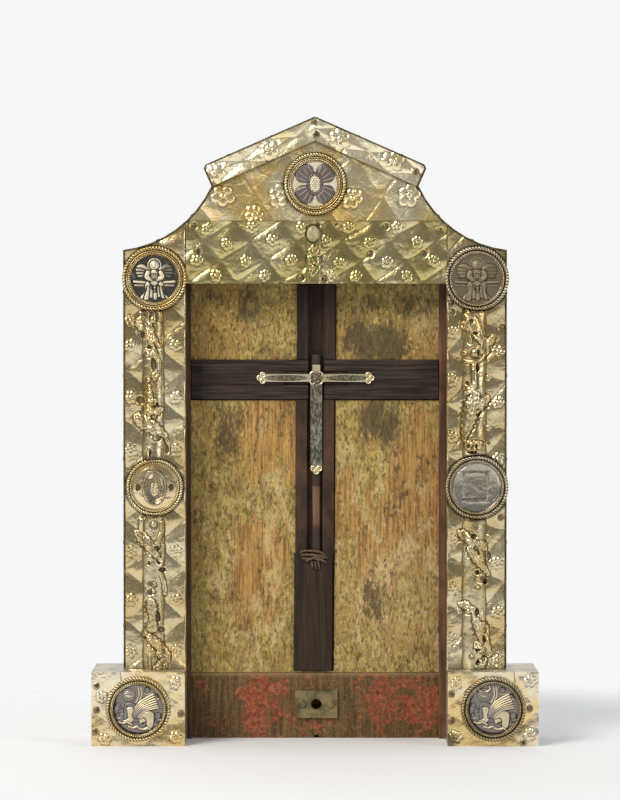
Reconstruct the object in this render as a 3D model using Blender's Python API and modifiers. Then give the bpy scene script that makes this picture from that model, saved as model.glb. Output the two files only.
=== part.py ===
"""Standing panel reliquary: an oak body faced with nailed gilt-copper sheets.

A shrine-shaped front with a gable, curved shoulders and two uprights stands on projecting feet. It
frames a painted oak panel with an inlaid dark wooden cross. Metres, +Z up, the front faces -Y, and
the origin is under the middle of the whole.
"""

import math
from collections import namedtuple

import bmesh
import bpy
from mathutils import Matrix, Vector

# Front elevation
OPENING_WIDTH = 0.1844
OPENING_HEIGHT = 0.2727
UPRIGHT_LEFT_WIDTH = 0.0442
UPRIGHT_RIGHT_WIDTH = 0.0424
FOOT_OVERHANG = 0.0214
FOOT_HEIGHT = 0.052
LINTEL_HEIGHT = 0.0442
SHOULDER_DROP = 0.0205
SHOULDER_SAG = 0.010
NECK_HALF_WIDTH = 0.0732
NECK_RISE = 0.0245
EAVE_OVERHANG = 0.0054
EAVE_RISE = 0.0125
EAVE_BEVEL = 0.0014
GABLE_RISE = 0.0366
CHEVRON_DROP = 0.0172
RAIL_HEIGHT = 0.0468

# Depths, from the back to the front
BOARD_THICKNESS = 0.014
FRAME_THICKNESS = 0.0225
SHEET_THICKNESS = 0.0012
FOOT_PROJECTION = 0.0217
FOOT_CORNER_RADIUS = 0.0022
CHEVRON_RISE = 0.0052
LINING_THICKNESS = 0.0012
FILLET_THICKNESS = 0.005
FILLET_LEFT_WIDTH = 0.0025
FILLET_RIGHT_WIDTH = 0.0044

# Touching pieces stay this far apart
GAP = 0.0003

# Wooden cross, its relic and its silver cross
CROSS_SHAFT_WIDTH = 0.0275
CROSS_LEAN = 0.002
CROSS_THICKNESS = 0.008
CROSS_PROUD = 0.002
CROSS_FOOT_CLEARANCE = 0.0014
CROSSBAR_HEIGHT = 0.0285
CROSSBAR_BELOW_LINTEL = 0.0685
CHANNEL_WIDTH = 0.0112
CHANNEL_DEPTH = 0.005
CHANNEL_LENGTH = 0.1927
ARM_RECESS_WIDTH = 0.046
ARM_RECESS_HEIGHT = 0.0106
ARM_RECESS_DEPTH = 0.0015
RELIC_LENGTH = 0.142
RELIC_WIDTH = 0.0072
RELIC_THICKNESS = 0.0042
SILVER_SPAN = 0.0775
SILVER_STEM = 0.0645
SILVER_ARM_HEIGHT = 0.0052
SILVER_STEM_WIDTH = 0.0084
SILVER_STEM_ABOVE = 0.0096
SILVER_THICKNESS = 0.0016
SILVER_ABOVE_BAR_MIDDLE = 0.0015
SILVER_BOSS_RADIUS = 0.0048
TREFOIL_RADIUS = 0.0023
TIE_WIDTH = 0.0186
TIE_RADIUS = 0.0016

# Embossing
LATTICE_RELIEF = 0.0013
LINTEL_CELL_PITCH = 0.0329
LINTEL_CELL_ROW = 0.01435
LINTEL_CELL_SKEW = 0.0113
LINTEL_CELL_START = -0.0784
UPRIGHT_CELL_PITCH = 0.0353
RIGHT_CELL_SKEW = 0.46
GABLE_CELL_PITCH = 0.040
GABLE_CELL_ROW = 0.026
GABLE_CELL_SKEW = 0.018
ROSETTE_RADIUS = 0.0039
ROSETTE_HEIGHT = 0.0009
LARGE_ROSETTE_RADIUS = 0.0066
NAIL_RADIUS = 0.0021
NAIL_HEIGHT = 0.0012
COLUMN_RADIUS = 0.0072
COLUMN_RISE = 0.0056
STEM_RADIUS = 0.0016
STEM_DROP = 0.0105
STEM_PITCH = 0.040
LEAF_LENGTH = 0.0058
LEAF_WIDTH = 0.0032

# Medallions
MEDALLION_RADIUS = 0.0228
CREST_MEDALLION_RADIUS = 0.0219
MIDDLE_LEFT_MEDALLION_RADIUS = 0.0202
BEZEL_WIDTH = 0.0054
MIDDLE_LEFT_BEZEL_WIDTH = 0.0036
BEZEL_HEIGHT = 0.0036
ROPE_BUMP = 0.0004
DISC_THICKNESS = 0.0014
FIGURE_RELIEF = 0.0011
CREST_MEDALLION_ABOVE_LINTEL = 0.026
TOP_MEDALLION_ABOVE_OPENING = 0.0034
MIDDLE_MEDALLION_BELOW_OPENING = 0.144
CRYSTAL_HEIGHT = 0.0052
TABLE_WIDTH = 0.0195
TABLE_HEIGHT = 0.0222
OVAL_CRYSTAL_WIDTH = 0.0186
OVAL_CRYSTAL_HEIGHT = 0.0268
DISH_SINK = 0.0011
DISH_RIM = 0.0018

# Fittings
STRAP_WIDTH = 0.0102
STRAP_OFF_MIDDLE = 0.0022
STRAP_THICKNESS = 0.0022
STONE_LENGTH = 0.0115
STONE_WIDTH = 0.009
STONE_RISE = 0.0024
PLATE_WIDTH = 0.030
PLATE_HEIGHT = 0.0197
PLATE_THICKNESS = 0.0016
PLATE_ABOVE_FLOOR = 0.0243
PLATE_HOLE_RADIUS = 0.0038
PLATE_SCREW_SPACING = 0.0204
SCREW_RADIUS = 0.0031
SCREW_HEIGHT = 0.0007
HOLE_DEPTH = 0.0105
NOTCH_WIDTH = 0.003
NOTCH_HEIGHT = 0.0022

# Facets of the round shapes
RING_SIDES = 24
STUD_SIDES = 6
ROSETTE_SIDES = 5

# Positions worked out from the sizes
HALF_WIDTH = (OPENING_WIDTH + UPRIGHT_LEFT_WIDTH + UPRIGHT_RIGHT_WIDTH) / 2 + FOOT_OVERHANG
OUTER = HALF_WIDTH - FOOT_OVERHANG
INNER_LEFT = UPRIGHT_LEFT_WIDTH - OUTER
INNER_RIGHT = OUTER - UPRIGHT_RIGHT_WIDTH
BODY_BASE = FOOT_HEIGHT + GAP
OPENING_TOP = FOOT_HEIGHT + OPENING_HEIGHT
LINTEL_TOP = OPENING_TOP + LINTEL_HEIGHT
SHOULDER = LINTEL_TOP - SHOULDER_DROP
NECK = LINTEL_TOP + NECK_RISE
EAVE = NECK + EAVE_RISE
APEX = EAVE + GABLE_RISE
FRAME_BACK = BOARD_THICKNESS + GAP
FRAME_FRONT = FRAME_BACK + FRAME_THICKNESS
SHEET_BACK = FRAME_FRONT + GAP
SHEET_FRONT = SHEET_BACK + SHEET_THICKNESS
FOOT_FRONT = SHEET_FRONT + FOOT_PROJECTION
FOOT_CORE_FRONT = FOOT_FRONT - SHEET_THICKNESS - GAP
HALF_DEPTH = (FOOT_FRONT + GAP + BEZEL_HEIGHT + ROPE_BUMP) / 2
SEAT_DEPTH = GAP / 2
CROSS_FRONT = BOARD_THICKNESS + CROSS_PROUD
CROSS_BACK = CROSS_FRONT - CROSS_THICKNESS
CROSSBAR_LEFT = INNER_LEFT + FILLET_LEFT_WIDTH + 2 * GAP
CROSSBAR_RIGHT = INNER_RIGHT - FILLET_RIGHT_WIDTH - 2 * GAP
CROSSBAR_TOP = OPENING_TOP - CROSSBAR_BELOW_LINTEL + CROSSBAR_HEIGHT / 2
CROSSBAR_BOTTOM = CROSSBAR_TOP - CROSSBAR_HEIGHT
CROSS_TOP = OPENING_TOP - GAP
CROSS_BOTTOM = RAIL_HEIGHT + CROSS_FOOT_CLEARANCE
CHANNEL_BOTTOM = OPENING_TOP - CHANNEL_LENGTH
SILVER_CENTRE = (CROSSBAR_TOP + CROSSBAR_BOTTOM) / 2 + SILVER_ABOVE_BAR_MIDDLE
UPRIGHT_CENTRES = {"left": (INNER_LEFT - OUTER) / 2, "right": (INNER_RIGHT + OUTER) / 2}
FOOT_CENTRES = {"left": (INNER_LEFT - HALF_WIDTH) / 2, "right": (INNER_RIGHT + HALF_WIDTH) / 2}


def at(distance):
    """Y of a plane that lies this far in front of the back."""
    return HALF_DEPTH - distance


def clear_scene():
    for obj in list(bpy.data.objects):
        bpy.data.objects.remove(obj, do_unlink=True)


def new_collection(name):
    collection = bpy.data.collections.new(name)
    bpy.context.scene.collection.children.link(collection)
    return collection


def finish_of(name, colour, roughness, metallic):
    material = bpy.data.materials.new(name)
    material.use_nodes = True
    shader = material.node_tree.nodes["Principled BSDF"]
    shader.inputs["Base Color"].default_value = (*colour, 1.0)
    shader.inputs["Roughness"].default_value = roughness
    shader.inputs["Metallic"].default_value = metallic
    return material


def object_of(name, shape, material, home):
    """A new object from a bmesh, with its material, in its collection."""
    mesh = bpy.data.meshes.new(name)
    bmesh.ops.recalc_face_normals(shape, faces=shape.faces)
    shape.to_mesh(mesh)
    shape.free()
    if material:
        mesh.materials.append(material)
    obj = bpy.data.objects.new(name, mesh)
    home.objects.link(obj)
    return obj


def helper_of(name, shape):
    """An object that only cuts or joins another one."""
    obj = object_of(name, shape, None, HELPERS)
    obj.hide_render = True
    obj.display_type = "WIRE"
    return obj


def combine(obj, helper, operation):
    modifier = obj.modifiers.new(helper.name, "BOOLEAN")
    modifier.operation = operation
    modifier.solver = "EXACT"
    modifier.object = helper
    return modifier


def evaluated_shape(obj):
    """The evaluated mesh of a helper object as a welded bmesh, and the helper removed."""
    bpy.context.view_layer.update()
    evaluated = obj.evaluated_get(bpy.context.evaluated_depsgraph_get())
    shape = bmesh.new()
    shape.from_mesh(evaluated.to_mesh())
    evaluated.to_mesh_clear()
    bpy.data.objects.remove(obj)
    bmesh.ops.remove_doubles(shape, verts=shape.verts, dist=0.00001)
    return shape


def plate_shape(name, outline, back, thickness):
    """A flat outline in X and Z, extruded forward from the distance back."""
    curve = bpy.data.curves.new(name, "CURVE")
    curve.dimensions = "2D"
    curve.fill_mode = "BOTH"
    curve.extrude = thickness / 2
    spline = curve.splines.new("POLY")
    spline.points.add(len(outline) - 1)
    for point, (x, z) in zip(spline.points, outline):
        point.co = (x, z, 0.0, 1.0)
    spline.use_cyclic_u = True
    flat = bpy.data.objects.new(name, curve)
    HELPERS.objects.link(flat)
    shape = evaluated_shape(flat)
    stand = Matrix.Translation((0, at(back + thickness / 2), 0)) @ Matrix.Rotation(math.pi / 2, 4, "X")
    bmesh.ops.transform(shape, matrix=stand, verts=shape.verts)
    return shape


def plate(name, outline, back, thickness, material):
    return object_of(name, plate_shape(name, outline, back, thickness), material, MODEL)


def add_box(shape, left, right, back, front, bottom, top):
    """A box between two X, two distances from the back and two Z."""
    middle = Vector(((left + right) / 2, at((back + front) / 2), (bottom + top) / 2))
    scale = Matrix.Diagonal((right - left, front - back, top - bottom, 1.0))
    bmesh.ops.create_cube(shape, size=1.0, matrix=Matrix.Translation(middle) @ scale)


def box(name, left, right, back, front, bottom, top, material):
    shape = bmesh.new()
    add_box(shape, left, right, back, front, bottom, top)
    return object_of(name, shape, material, MODEL)


def add_stud(shape, x, z, base, height, radius, top_radius, sides, stretch=1.0, turn=0.0):
    """A round or oval boss that rises towards the front from the distance base."""
    place = Matrix.Translation((x, at(base + height / 2), z))
    stand = Matrix.Rotation(turn, 4, "Y") @ Matrix.Rotation(math.pi / 2, 4, "X")
    oval = Matrix.Diagonal((stretch, 1.0, 1.0, 1.0))
    bmesh.ops.create_cone(shape, cap_ends=True, segments=sides, radius1=radius, radius2=top_radius,
                          depth=height, matrix=place @ stand @ oval)


def round_cutter(name, x, z, radius, back, front):
    shape = bmesh.new()
    add_stud(shape, x, z, back, front - back, radius, radius, RING_SIDES)
    return helper_of(name, shape)


def arc(start, end, sag, steps):
    """Points of the round arc from start to end, both included, that sags to the left of its chord."""
    start, end = Vector(start), Vector(end)
    chord = end - start
    side = Vector((-chord.y, chord.x)).normalized()
    radius = (chord.length ** 2 / 4 + sag ** 2) / (2 * sag)
    centre = (start + end) / 2 + side * (sag - radius)
    half = math.asin(chord.length / 2 / radius)
    points = []
    for step in range(steps + 1):
        angle = half * (2 * step / steps - 1)
        points.append(tuple(centre + side * radius * math.cos(angle)
                            + chord.normalized() * radius * math.sin(angle)))
    return points


def offset_path(points, distance):
    """An open path moved to the left of its direction, with mitred corners."""
    moved = []
    for index, point in enumerate(points):
        here = Vector(point)
        before = Vector(points[max(index - 1, 0)])
        after = Vector(points[min(index + 1, len(points) - 1)])
        sides = []
        for run in (here - before, after - here):
            if run.length > 0:
                sides.append(Vector((-run.y, run.x)).normalized())
        middle = (sides[0] + sides[-1]).normalized()
        moved.append(tuple(here + middle * distance / middle.dot(sides[0])))
    return moved


def edge_path():
    """The right-hand outline of the body, from the top of the foot up to the apex."""
    shoulder = arc((OUTER, SHOULDER), (NECK_HALF_WIDTH, NECK), SHOULDER_SAG, 8)
    eave_half = NECK_HALF_WIDTH + EAVE_OVERHANG
    roof = [(eave_half, EAVE), (eave_half - EAVE_BEVEL, EAVE + 2 * EAVE_BEVEL), (0.0, APEX)]
    return [(OUTER, BODY_BASE), *shoulder, *roof]


def facing_path():
    """The outline that the wood and the front sheets share, inside the edge lining."""
    path = offset_path(edge_path(), LINING_THICKNESS + GAP)
    apex_x, apex_z = path[-1]
    slope = (apex_z - path[-2][1]) / (apex_x - path[-2][0])
    path[-1] = (0.0, apex_z - slope * apex_x)
    return path


def mirrored(path):
    return [(-x, z) for x, z in path]


def shoulder_points(above, below):
    """The facing outline's shoulder between two heights, from the lower one up, with exact ends."""
    path = facing_path()[1:10]
    points = [(x, z) for x, z in path if above < z < below]
    for level, place in ((above, 0), (below, len(points) + 1)):
        for (x0, z0), (x1, z1) in zip(path, path[1:]):
            if z0 <= level <= z1:
                points.insert(place, (x0 + (x1 - x0) * (level - z0) / (z1 - z0), level))
                break
    return points


def shoulder_height(x):
    """Height of the facing outline's shoulder at a distance from the middle."""
    path = facing_path()[1:10]
    for (x0, z0), (x1, z1) in zip(path, path[1:]):
        if x1 <= x <= x0:
            return z0 + (z1 - z0) * (x0 - x) / (x0 - x1)
    return LINTEL_TOP


def make_boards():
    """The oak body: back board, head, uprights, feet and the rail between the feet."""
    right = facing_path()
    left = mirrored(right)
    panel = plate("painted_panel", right + left[-2::-1], 0.0, BOARD_THICKNESS, PAINTED_OAK)
    tongue = bmesh.new()
    add_box(tongue, INNER_LEFT + GAP, INNER_RIGHT - GAP, 0.0, BOARD_THICKNESS, RAIL_HEIGHT + GAP,
            BODY_BASE + BOARD_THICKNESS)
    combine(panel, helper_of("panel_tongue", tongue), "UNION")
    rebate = plate_shape("shaft_rebate", cross_shaft(GAP), CROSS_BACK - GAP, CROSS_THICKNESS)
    combine(panel, helper_of("shaft_rebate", rebate), "DIFFERENCE")
    combine(panel, crossbar("crossbar_rebate", CROSS_BACK - GAP, GAP), "DIFFERENCE")
    corner = (right[0][0], OPENING_TOP)
    head = [(-corner[0], OPENING_TOP), corner, *right[1:], *left[-2:0:-1]]
    plate("head_board", head, FRAME_BACK, FRAME_THICKNESS, OAK)
    for side, inner, sign in (("left", INNER_LEFT, -1), ("right", INNER_RIGHT, 1)):
        outer = sign * (OUTER - LINING_THICKNESS - GAP)
        box(f"{side}_upright_core", min(inner, outer), max(inner, outer), FRAME_BACK, FRAME_FRONT,
            BODY_BASE, OPENING_TOP - GAP, OAK)
        casing = LINING_THICKNESS + GAP
        foot_inner = inner + sign * casing
        foot_outer = sign * (HALF_WIDTH - casing)
        box(f"{side}_foot_core", min(foot_inner, foot_outer), max(foot_inner, foot_outer), 0.0,
            FOOT_CORE_FRONT, 0.0, FOOT_HEIGHT - casing, OAK)
    rail = box("bottom_rail", INNER_LEFT + GAP, INNER_RIGHT - GAP, 0.0, BOARD_THICKNESS, 0.0,
               RAIL_HEIGHT, PAINTED_RAIL)
    middle = plate_middle()
    hole = round_cutter("rail_hole", middle, PLATE_ABOVE_FLOOR, PLATE_HOLE_RADIUS,
                        BOARD_THICKNESS - HOLE_DEPTH, BOARD_THICKNESS + 0.01)
    combine(rail, hole, "DIFFERENCE")
    notch = bmesh.new()
    add_box(notch, middle - NOTCH_WIDTH / 2, middle + NOTCH_WIDTH / 2, BOARD_THICKNESS / 2,
            BOARD_THICKNESS + 0.01, -0.01, NOTCH_HEIGHT)
    combine(rail, helper_of("rail_notch", notch), "DIFFERENCE")
    fillet_back = BOARD_THICKNESS + GAP
    fillet_front = fillet_back + FILLET_THICKNESS
    box("left_recess_fillet", INNER_LEFT + GAP, INNER_LEFT + GAP + FILLET_LEFT_WIDTH, fillet_back,
        fillet_front, 0.0, OPENING_TOP - GAP, OAK_TRIM)
    box("right_recess_fillet", INNER_RIGHT - GAP - FILLET_RIGHT_WIDTH, INNER_RIGHT - GAP,
        fillet_back, fillet_front, 0.0, OPENING_TOP - GAP, OAK_TRIM)


def plate_middle():
    return (INNER_LEFT + INNER_RIGHT) / 2


def cross_axis(z):
    """X of the leaning shaft's centre line at a height."""
    share = (z - CROSS_BOTTOM) / (CROSS_TOP - CROSS_BOTTOM)
    return plate_middle() + CROSS_LEAN * (share - 1.0) + CROSS_LEAN / 4


def cross_shaft(grow):
    """Outline of the leaning shaft, larger by grow all round."""
    half = CROSS_SHAFT_WIDTH / 2 + grow
    low, high = CROSS_BOTTOM - grow, CROSS_TOP + grow
    return [(cross_axis(low) - half, low), (cross_axis(low) + half, low),
            (cross_axis(high) + half, high), (cross_axis(high) - half, high)]


def crossbar(name, back, grow):
    """A helper in the place of the crossbar, larger by grow all round."""
    shape = bmesh.new()
    add_box(shape, CROSSBAR_LEFT - grow, CROSSBAR_RIGHT + grow, back, back + CROSS_THICKNESS,
            CROSSBAR_BOTTOM - grow, CROSSBAR_TOP + grow)
    return helper_of(name, shape)


def make_cross():
    """The inlaid dark cross with its channel, and what lies on it."""
    cross = plate("wooden_cross", cross_shaft(0.0), CROSS_BACK, CROSS_THICKNESS, DARK_WOOD)
    combine(cross, crossbar("crossbar", CROSS_BACK, 0.0), "UNION")
    middle = cross_axis(SILVER_CENTRE)
    channel = bmesh.new()
    add_box(channel, middle - CHANNEL_WIDTH / 2, middle + CHANNEL_WIDTH / 2,
            CROSS_FRONT - CHANNEL_DEPTH, CROSS_FRONT + 0.01, CHANNEL_BOTTOM, CROSS_TOP + 0.01)
    combine(cross, helper_of("relic_channel", channel), "DIFFERENCE")
    recess = bmesh.new()
    add_box(recess, middle - ARM_RECESS_WIDTH / 2, middle + ARM_RECESS_WIDTH / 2,
            CROSS_FRONT - ARM_RECESS_DEPTH, CROSS_FRONT + 0.01,
            SILVER_CENTRE - ARM_RECESS_HEIGHT / 2, SILVER_CENTRE + ARM_RECESS_HEIGHT / 2)
    combine(cross, helper_of("arm_recess", recess), "DIFFERENCE")
    floor = CROSS_FRONT - CHANNEL_DEPTH + GAP
    relic = bmesh.new()
    add_box(relic, middle - RELIC_WIDTH / 2, middle + RELIC_WIDTH / 2, floor,
            floor + RELIC_THICKNESS, CHANNEL_BOTTOM + GAP, CHANNEL_BOTTOM + GAP + RELIC_LENGTH)
    edges = [edge for edge in relic.edges if abs(edge.verts[0].co.z - edge.verts[1].co.z) > 0.01]
    bmesh.ops.bevel(relic, geom=edges, offset=RELIC_THICKNESS / 3, segments=1, profile=0.5,
                    affect="EDGES")
    object_of("relic_splinter", relic, RELIC_WOOD, MODEL)
    make_silver_cross(middle)
    make_tie(middle)


def make_silver_cross(middle):
    """Thin silver-gilt cross with trefoil ends, lying over the channel."""
    back = CROSS_FRONT + GAP
    silver = box("silver_cross", middle - SILVER_SPAN / 2 + TREFOIL_RADIUS,
                 middle + SILVER_SPAN / 2 - TREFOIL_RADIUS, back, back + SILVER_THICKNESS,
                 SILVER_CENTRE - SILVER_ARM_HEIGHT / 2, SILVER_CENTRE + SILVER_ARM_HEIGHT / 2, SILVER)
    stem = bmesh.new()
    add_box(stem, middle - SILVER_STEM_WIDTH / 2, middle + SILVER_STEM_WIDTH / 2, back + 0.0001,
            back + SILVER_THICKNESS * 0.9, SILVER_CENTRE - SILVER_STEM,
            SILVER_CENTRE + SILVER_STEM_ABOVE)
    combine(silver, helper_of("silver_stem", stem), "UNION")
    reach = SILVER_SPAN / 2 - TREFOIL_RADIUS
    ends = [(-reach, 0.0, math.pi), (reach, 0.0, 0.0), (0.0, -SILVER_STEM, -math.pi / 2)]
    for lobe in range(3):
        lobes = bmesh.new()
        for x, z, facing in ends:
            turn = facing + (lobe - 1) * math.pi / 2
            add_stud(lobes, middle + x + TREFOIL_RADIUS * math.cos(turn),
                     SILVER_CENTRE + z + TREFOIL_RADIUS * math.sin(turn), back + 0.00005 * (lobe + 1),
                     SILVER_THICKNESS * (1.15 + 0.1 * lobe), TREFOIL_RADIUS, TREFOIL_RADIUS * 0.75,
                     STUD_SIDES)
        combine(silver, helper_of(f"trefoil_{lobe}", lobes), "UNION")
    boss = bmesh.new()
    add_stud(boss, middle, SILVER_CENTRE, back + 0.0002, SILVER_THICKNESS * 1.2, SILVER_BOSS_RADIUS,
             SILVER_BOSS_RADIUS * 0.8, 8)
    combine(silver, helper_of("silver_boss", boss), "UNION")


def make_tie(middle):
    """Two crossed turns of a tie at the foot of the channel."""
    back = CROSS_FRONT + GAP
    tie = bmesh.new()
    add_stud(tie, middle, CHANNEL_BOTTOM - TIE_RADIUS * 1.5, back, TIE_RADIUS * 1.5,
             TIE_WIDTH / 2, TIE_WIDTH / 2.6, 8)
    squash = Matrix.Translation((0, 0, CHANNEL_BOTTOM - TIE_RADIUS * 1.5))
    flat = squash @ Matrix.Diagonal((1.0, 1.0, 0.42, 1.0)) @ squash.inverted()
    bmesh.ops.transform(tie, matrix=flat, verts=tie.verts)
    obj = object_of("channel_tie", tie, TIE_WOOD, MODEL)
    tails = bmesh.new()
    for sign in (-1, 1):
        add_stud(tails, middle + sign * TIE_RADIUS * 1.6, CHANNEL_BOTTOM - TIE_RADIUS * 5.0,
                 back + 0.0001, TIE_RADIUS * 0.9, TIE_RADIUS * 3.4, TIE_RADIUS * 2.6, STUD_SIDES,
                 stretch=0.32, turn=sign * 0.2)
    combine(obj, helper_of("tie_tails", tails), "UNION")


def cut_lattice(shape, origin, step, directions):
    """Cuts a flat sheet in X and Z along two families of parallel lines."""
    origin = Vector((origin[0], 0.0, origin[1]))
    step = Vector((step[0], 0.0, step[1]))
    for run in directions:
        across = Vector((-run[1], 0.0, run[0])).normalized()
        spacing = step.dot(across)
        reached = [(vert.co - origin).dot(across) / spacing for vert in shape.verts]
        for index in range(math.ceil(min(reached)), math.floor(max(reached)) + 1):
            geometry = shape.verts[:] + shape.edges[:] + shape.faces[:]
            bmesh.ops.bisect_plane(shape, geom=geometry, dist=0.00002, plane_no=across,
                                   plane_co=origin + step * index)


def raise_cells(shape, full_area, relief, least=0.3):
    """Raises the middle of each cell that is more than a part of a whole one. Gives the middles."""
    middles = []
    for face in list(shape.faces):
        share = min(face.calc_area() / full_area, 1.0)
        if share < least:
            continue
        middle = face.calc_center_median()
        top = relief * math.sqrt(share)
        made = bmesh.ops.poke(shape, faces=[face], center_mode="MEAN")
        made["verts"][0].co = middle + Vector((0.0, -top, 0.0))
        middles.append((middle.x, middle.z, top))
    return middles


def relief_sheet(name, outline, lattice, relief, back, thickness, material):
    """A sheet whose cells rise to low points. Gives the object and the cells' middles."""
    shape = bmesh.new()
    verts = [shape.verts.new((x, 0.0, z)) for x, z in outline]
    bmesh.ops.contextual_create(shape, geom=verts)
    origin, step, directions = lattice
    cut_lattice(shape, origin, step, directions)
    first, second = directions
    across = Vector((-second[1], second[0])).normalized()
    full_area = abs(Vector(step).dot(across)) * Vector(second).length
    full_area *= abs(Vector(step).cross(Vector(first))) / abs(Vector(second).cross(Vector(first)))
    middles = raise_cells(shape, full_area, relief)
    rim = bmesh.ops.extrude_edge_only(shape, edges=[edge for edge in shape.edges if edge.is_boundary])
    rim_verts = [item for item in rim["geom"] if isinstance(item, bmesh.types.BMVert)]
    bmesh.ops.translate(shape, vec=(0.0, thickness, 0.0), verts=rim_verts)
    loop = [edge for edge in shape.edges if edge.is_boundary]
    bmesh.ops.contextual_create(shape, geom=loop)
    bmesh.ops.translate(shape, vec=(0.0, at(back + thickness), 0.0), verts=shape.verts)
    return object_of(name, shape, material, MODEL), middles


def add_rosettes(shape, spots, front, radius):
    for x, z, lift in spots:
        add_stud(shape, x, z, front - SHEET_THICKNESS / 2, SHEET_THICKNESS / 2 + lift + ROSETTE_HEIGHT,
                 radius, radius * 0.55, ROSETTE_SIDES)


def add_nails(shape, spots, front, lift=0.0):
    for x, z in spots:
        add_stud(shape, x, z, front - SHEET_THICKNESS / 2, SHEET_THICKNESS / 2 + lift + NAIL_HEIGHT,
                 NAIL_RADIUS, NAIL_RADIUS * 0.6, STUD_SIDES)


def within(spots, shares, left, right, bottom, top):
    """Spots given as shares of a rectangle, added to a list."""
    for across, up in shares:
        spots.append((left + (right - left) * across, bottom + (top - bottom) * up))
    return spots


def clear_of(spots, discs, margin):
    """The spots that lie outside every disc by a margin."""
    kept = []
    for spot in spots:
        if all(math.hypot(spot[0] - x, spot[1] - z) > radius + margin for x, z, radius in discs):
            kept.append(spot)
    return kept


def make_lintel():
    """Two embossed sheets over the opening, which meet under the strap."""
    lattice = ((LINTEL_CELL_START, LINTEL_TOP - LINTEL_CELL_ROW), (LINTEL_CELL_PITCH, 0.0),
               ((LINTEL_CELL_SKEW, -LINTEL_CELL_ROW),
                (LINTEL_CELL_PITCH - LINTEL_CELL_SKEW, LINTEL_CELL_ROW)))
    joint = strap_middle()
    nails = {"left": ((0.08, 0.9), (0.13, 0.5), (0.93, 0.1)),
             "right": ((0.12, 0.09), (0.52, 0.9), (0.39, 0.45), (0.82, 0.46), (0.94, 0.83))}
    for side, sign, edge in (("left", -1, INNER_LEFT), ("right", 1, INNER_RIGHT)):
        inner_edge = joint + sign * GAP / 2
        corner = shoulder_height(abs(edge) - GAP / 2)
        top = LINTEL_TOP - GAP / 2
        outer_edge = edge - sign * GAP / 2
        outline = [(inner_edge, OPENING_TOP), (outer_edge, OPENING_TOP),
                   (outer_edge, min(corner, top))]
        if corner < top:
            outline.append((sign * shoulder_points(SHOULDER, top)[-1][0], top))
        outline.append((inner_edge, top))
        sheet, middles = relief_sheet(f"{side}_lintel_sheet", outline, lattice, LATTICE_RELIEF,
                                      SHEET_BACK, SHEET_THICKNESS, GREEN_GILT)
        low, high = sorted((inner_edge, outer_edge))
        reach = ROSETTE_RADIUS + NAIL_RADIUS * 0.3
        spots = [(min(max(x, low + reach), high - reach),
                  min(max(z, OPENING_TOP + reach), top - reach), lift) for x, z, lift in middles]
        strap = [(joint, LINTEL_TOP - LINTEL_HEIGHT * share, STRAP_WIDTH / 2)
                 for share in (0.1, 0.3, 0.5, 0.7, 0.9)]
        spots = spaced(clear_of(spots, strap, ROSETTE_RADIUS), ROSETTE_RADIUS * 2.1)
        bosses = bmesh.new()
        add_rosettes(bosses, spots, SHEET_FRONT, ROSETTE_RADIUS)
        taken = [(x, z, ROSETTE_RADIUS) for x, z, _ in spots]
        places = within([], nails[side], low, high, OPENING_TOP, top)
        add_nails(bosses, clear_of(places, taken, NAIL_RADIUS), SHEET_FRONT, LATTICE_RELIEF / 2)
        combine(sheet, helper_of(f"{side}_lintel_bosses", bosses), "UNION")


def spaced(spots, distance):
    """The spots in order, without any that comes too close to an earlier one."""
    kept = []
    for spot in spots:
        if all(math.hypot(spot[0] - x, spot[1] - z) > distance for x, z, *_ in kept):
            kept.append(spot)
    return kept


def strap_middle():
    return plate_middle() - STRAP_OFF_MIDDLE


Medallion = namedtuple("Medallion", "x z radius rim seat")


def medallions():
    """Each medallion's centre, radius, width of its rim, and the distance of what it sits on."""
    top = OPENING_TOP + TOP_MEDALLION_ABOVE_OPENING
    middle = OPENING_TOP - MIDDLE_MEDALLION_BELOW_OPENING
    crest = LINTEL_TOP + CREST_MEDALLION_ABOVE_LINTEL
    sunk = SHEET_FRONT - SEAT_DEPTH + GAP
    on_foot = FOOT_FRONT + GAP
    left, right = UPRIGHT_CENTRES["left"], UPRIGHT_CENTRES["right"]
    return {
        "crest": Medallion(0.0, crest, CREST_MEDALLION_RADIUS, BEZEL_WIDTH, sunk),
        "top_left": Medallion(left, top, MEDALLION_RADIUS, BEZEL_WIDTH, sunk),
        "top_right": Medallion(right, top, MEDALLION_RADIUS, BEZEL_WIDTH, sunk),
        "middle_left": Medallion(left, middle, MIDDLE_LEFT_MEDALLION_RADIUS, MIDDLE_LEFT_BEZEL_WIDTH,
                                 sunk),
        "middle_right": Medallion(right, middle, MEDALLION_RADIUS, BEZEL_WIDTH, sunk),
        "foot_left": Medallion(FOOT_CENTRES["left"], FOOT_HEIGHT / 2, MEDALLION_RADIUS, BEZEL_WIDTH,
                               on_foot),
        "foot_right": Medallion(FOOT_CENTRES["right"], FOOT_HEIGHT / 2, MEDALLION_RADIUS, BEZEL_WIDTH,
                                on_foot),
    }


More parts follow.
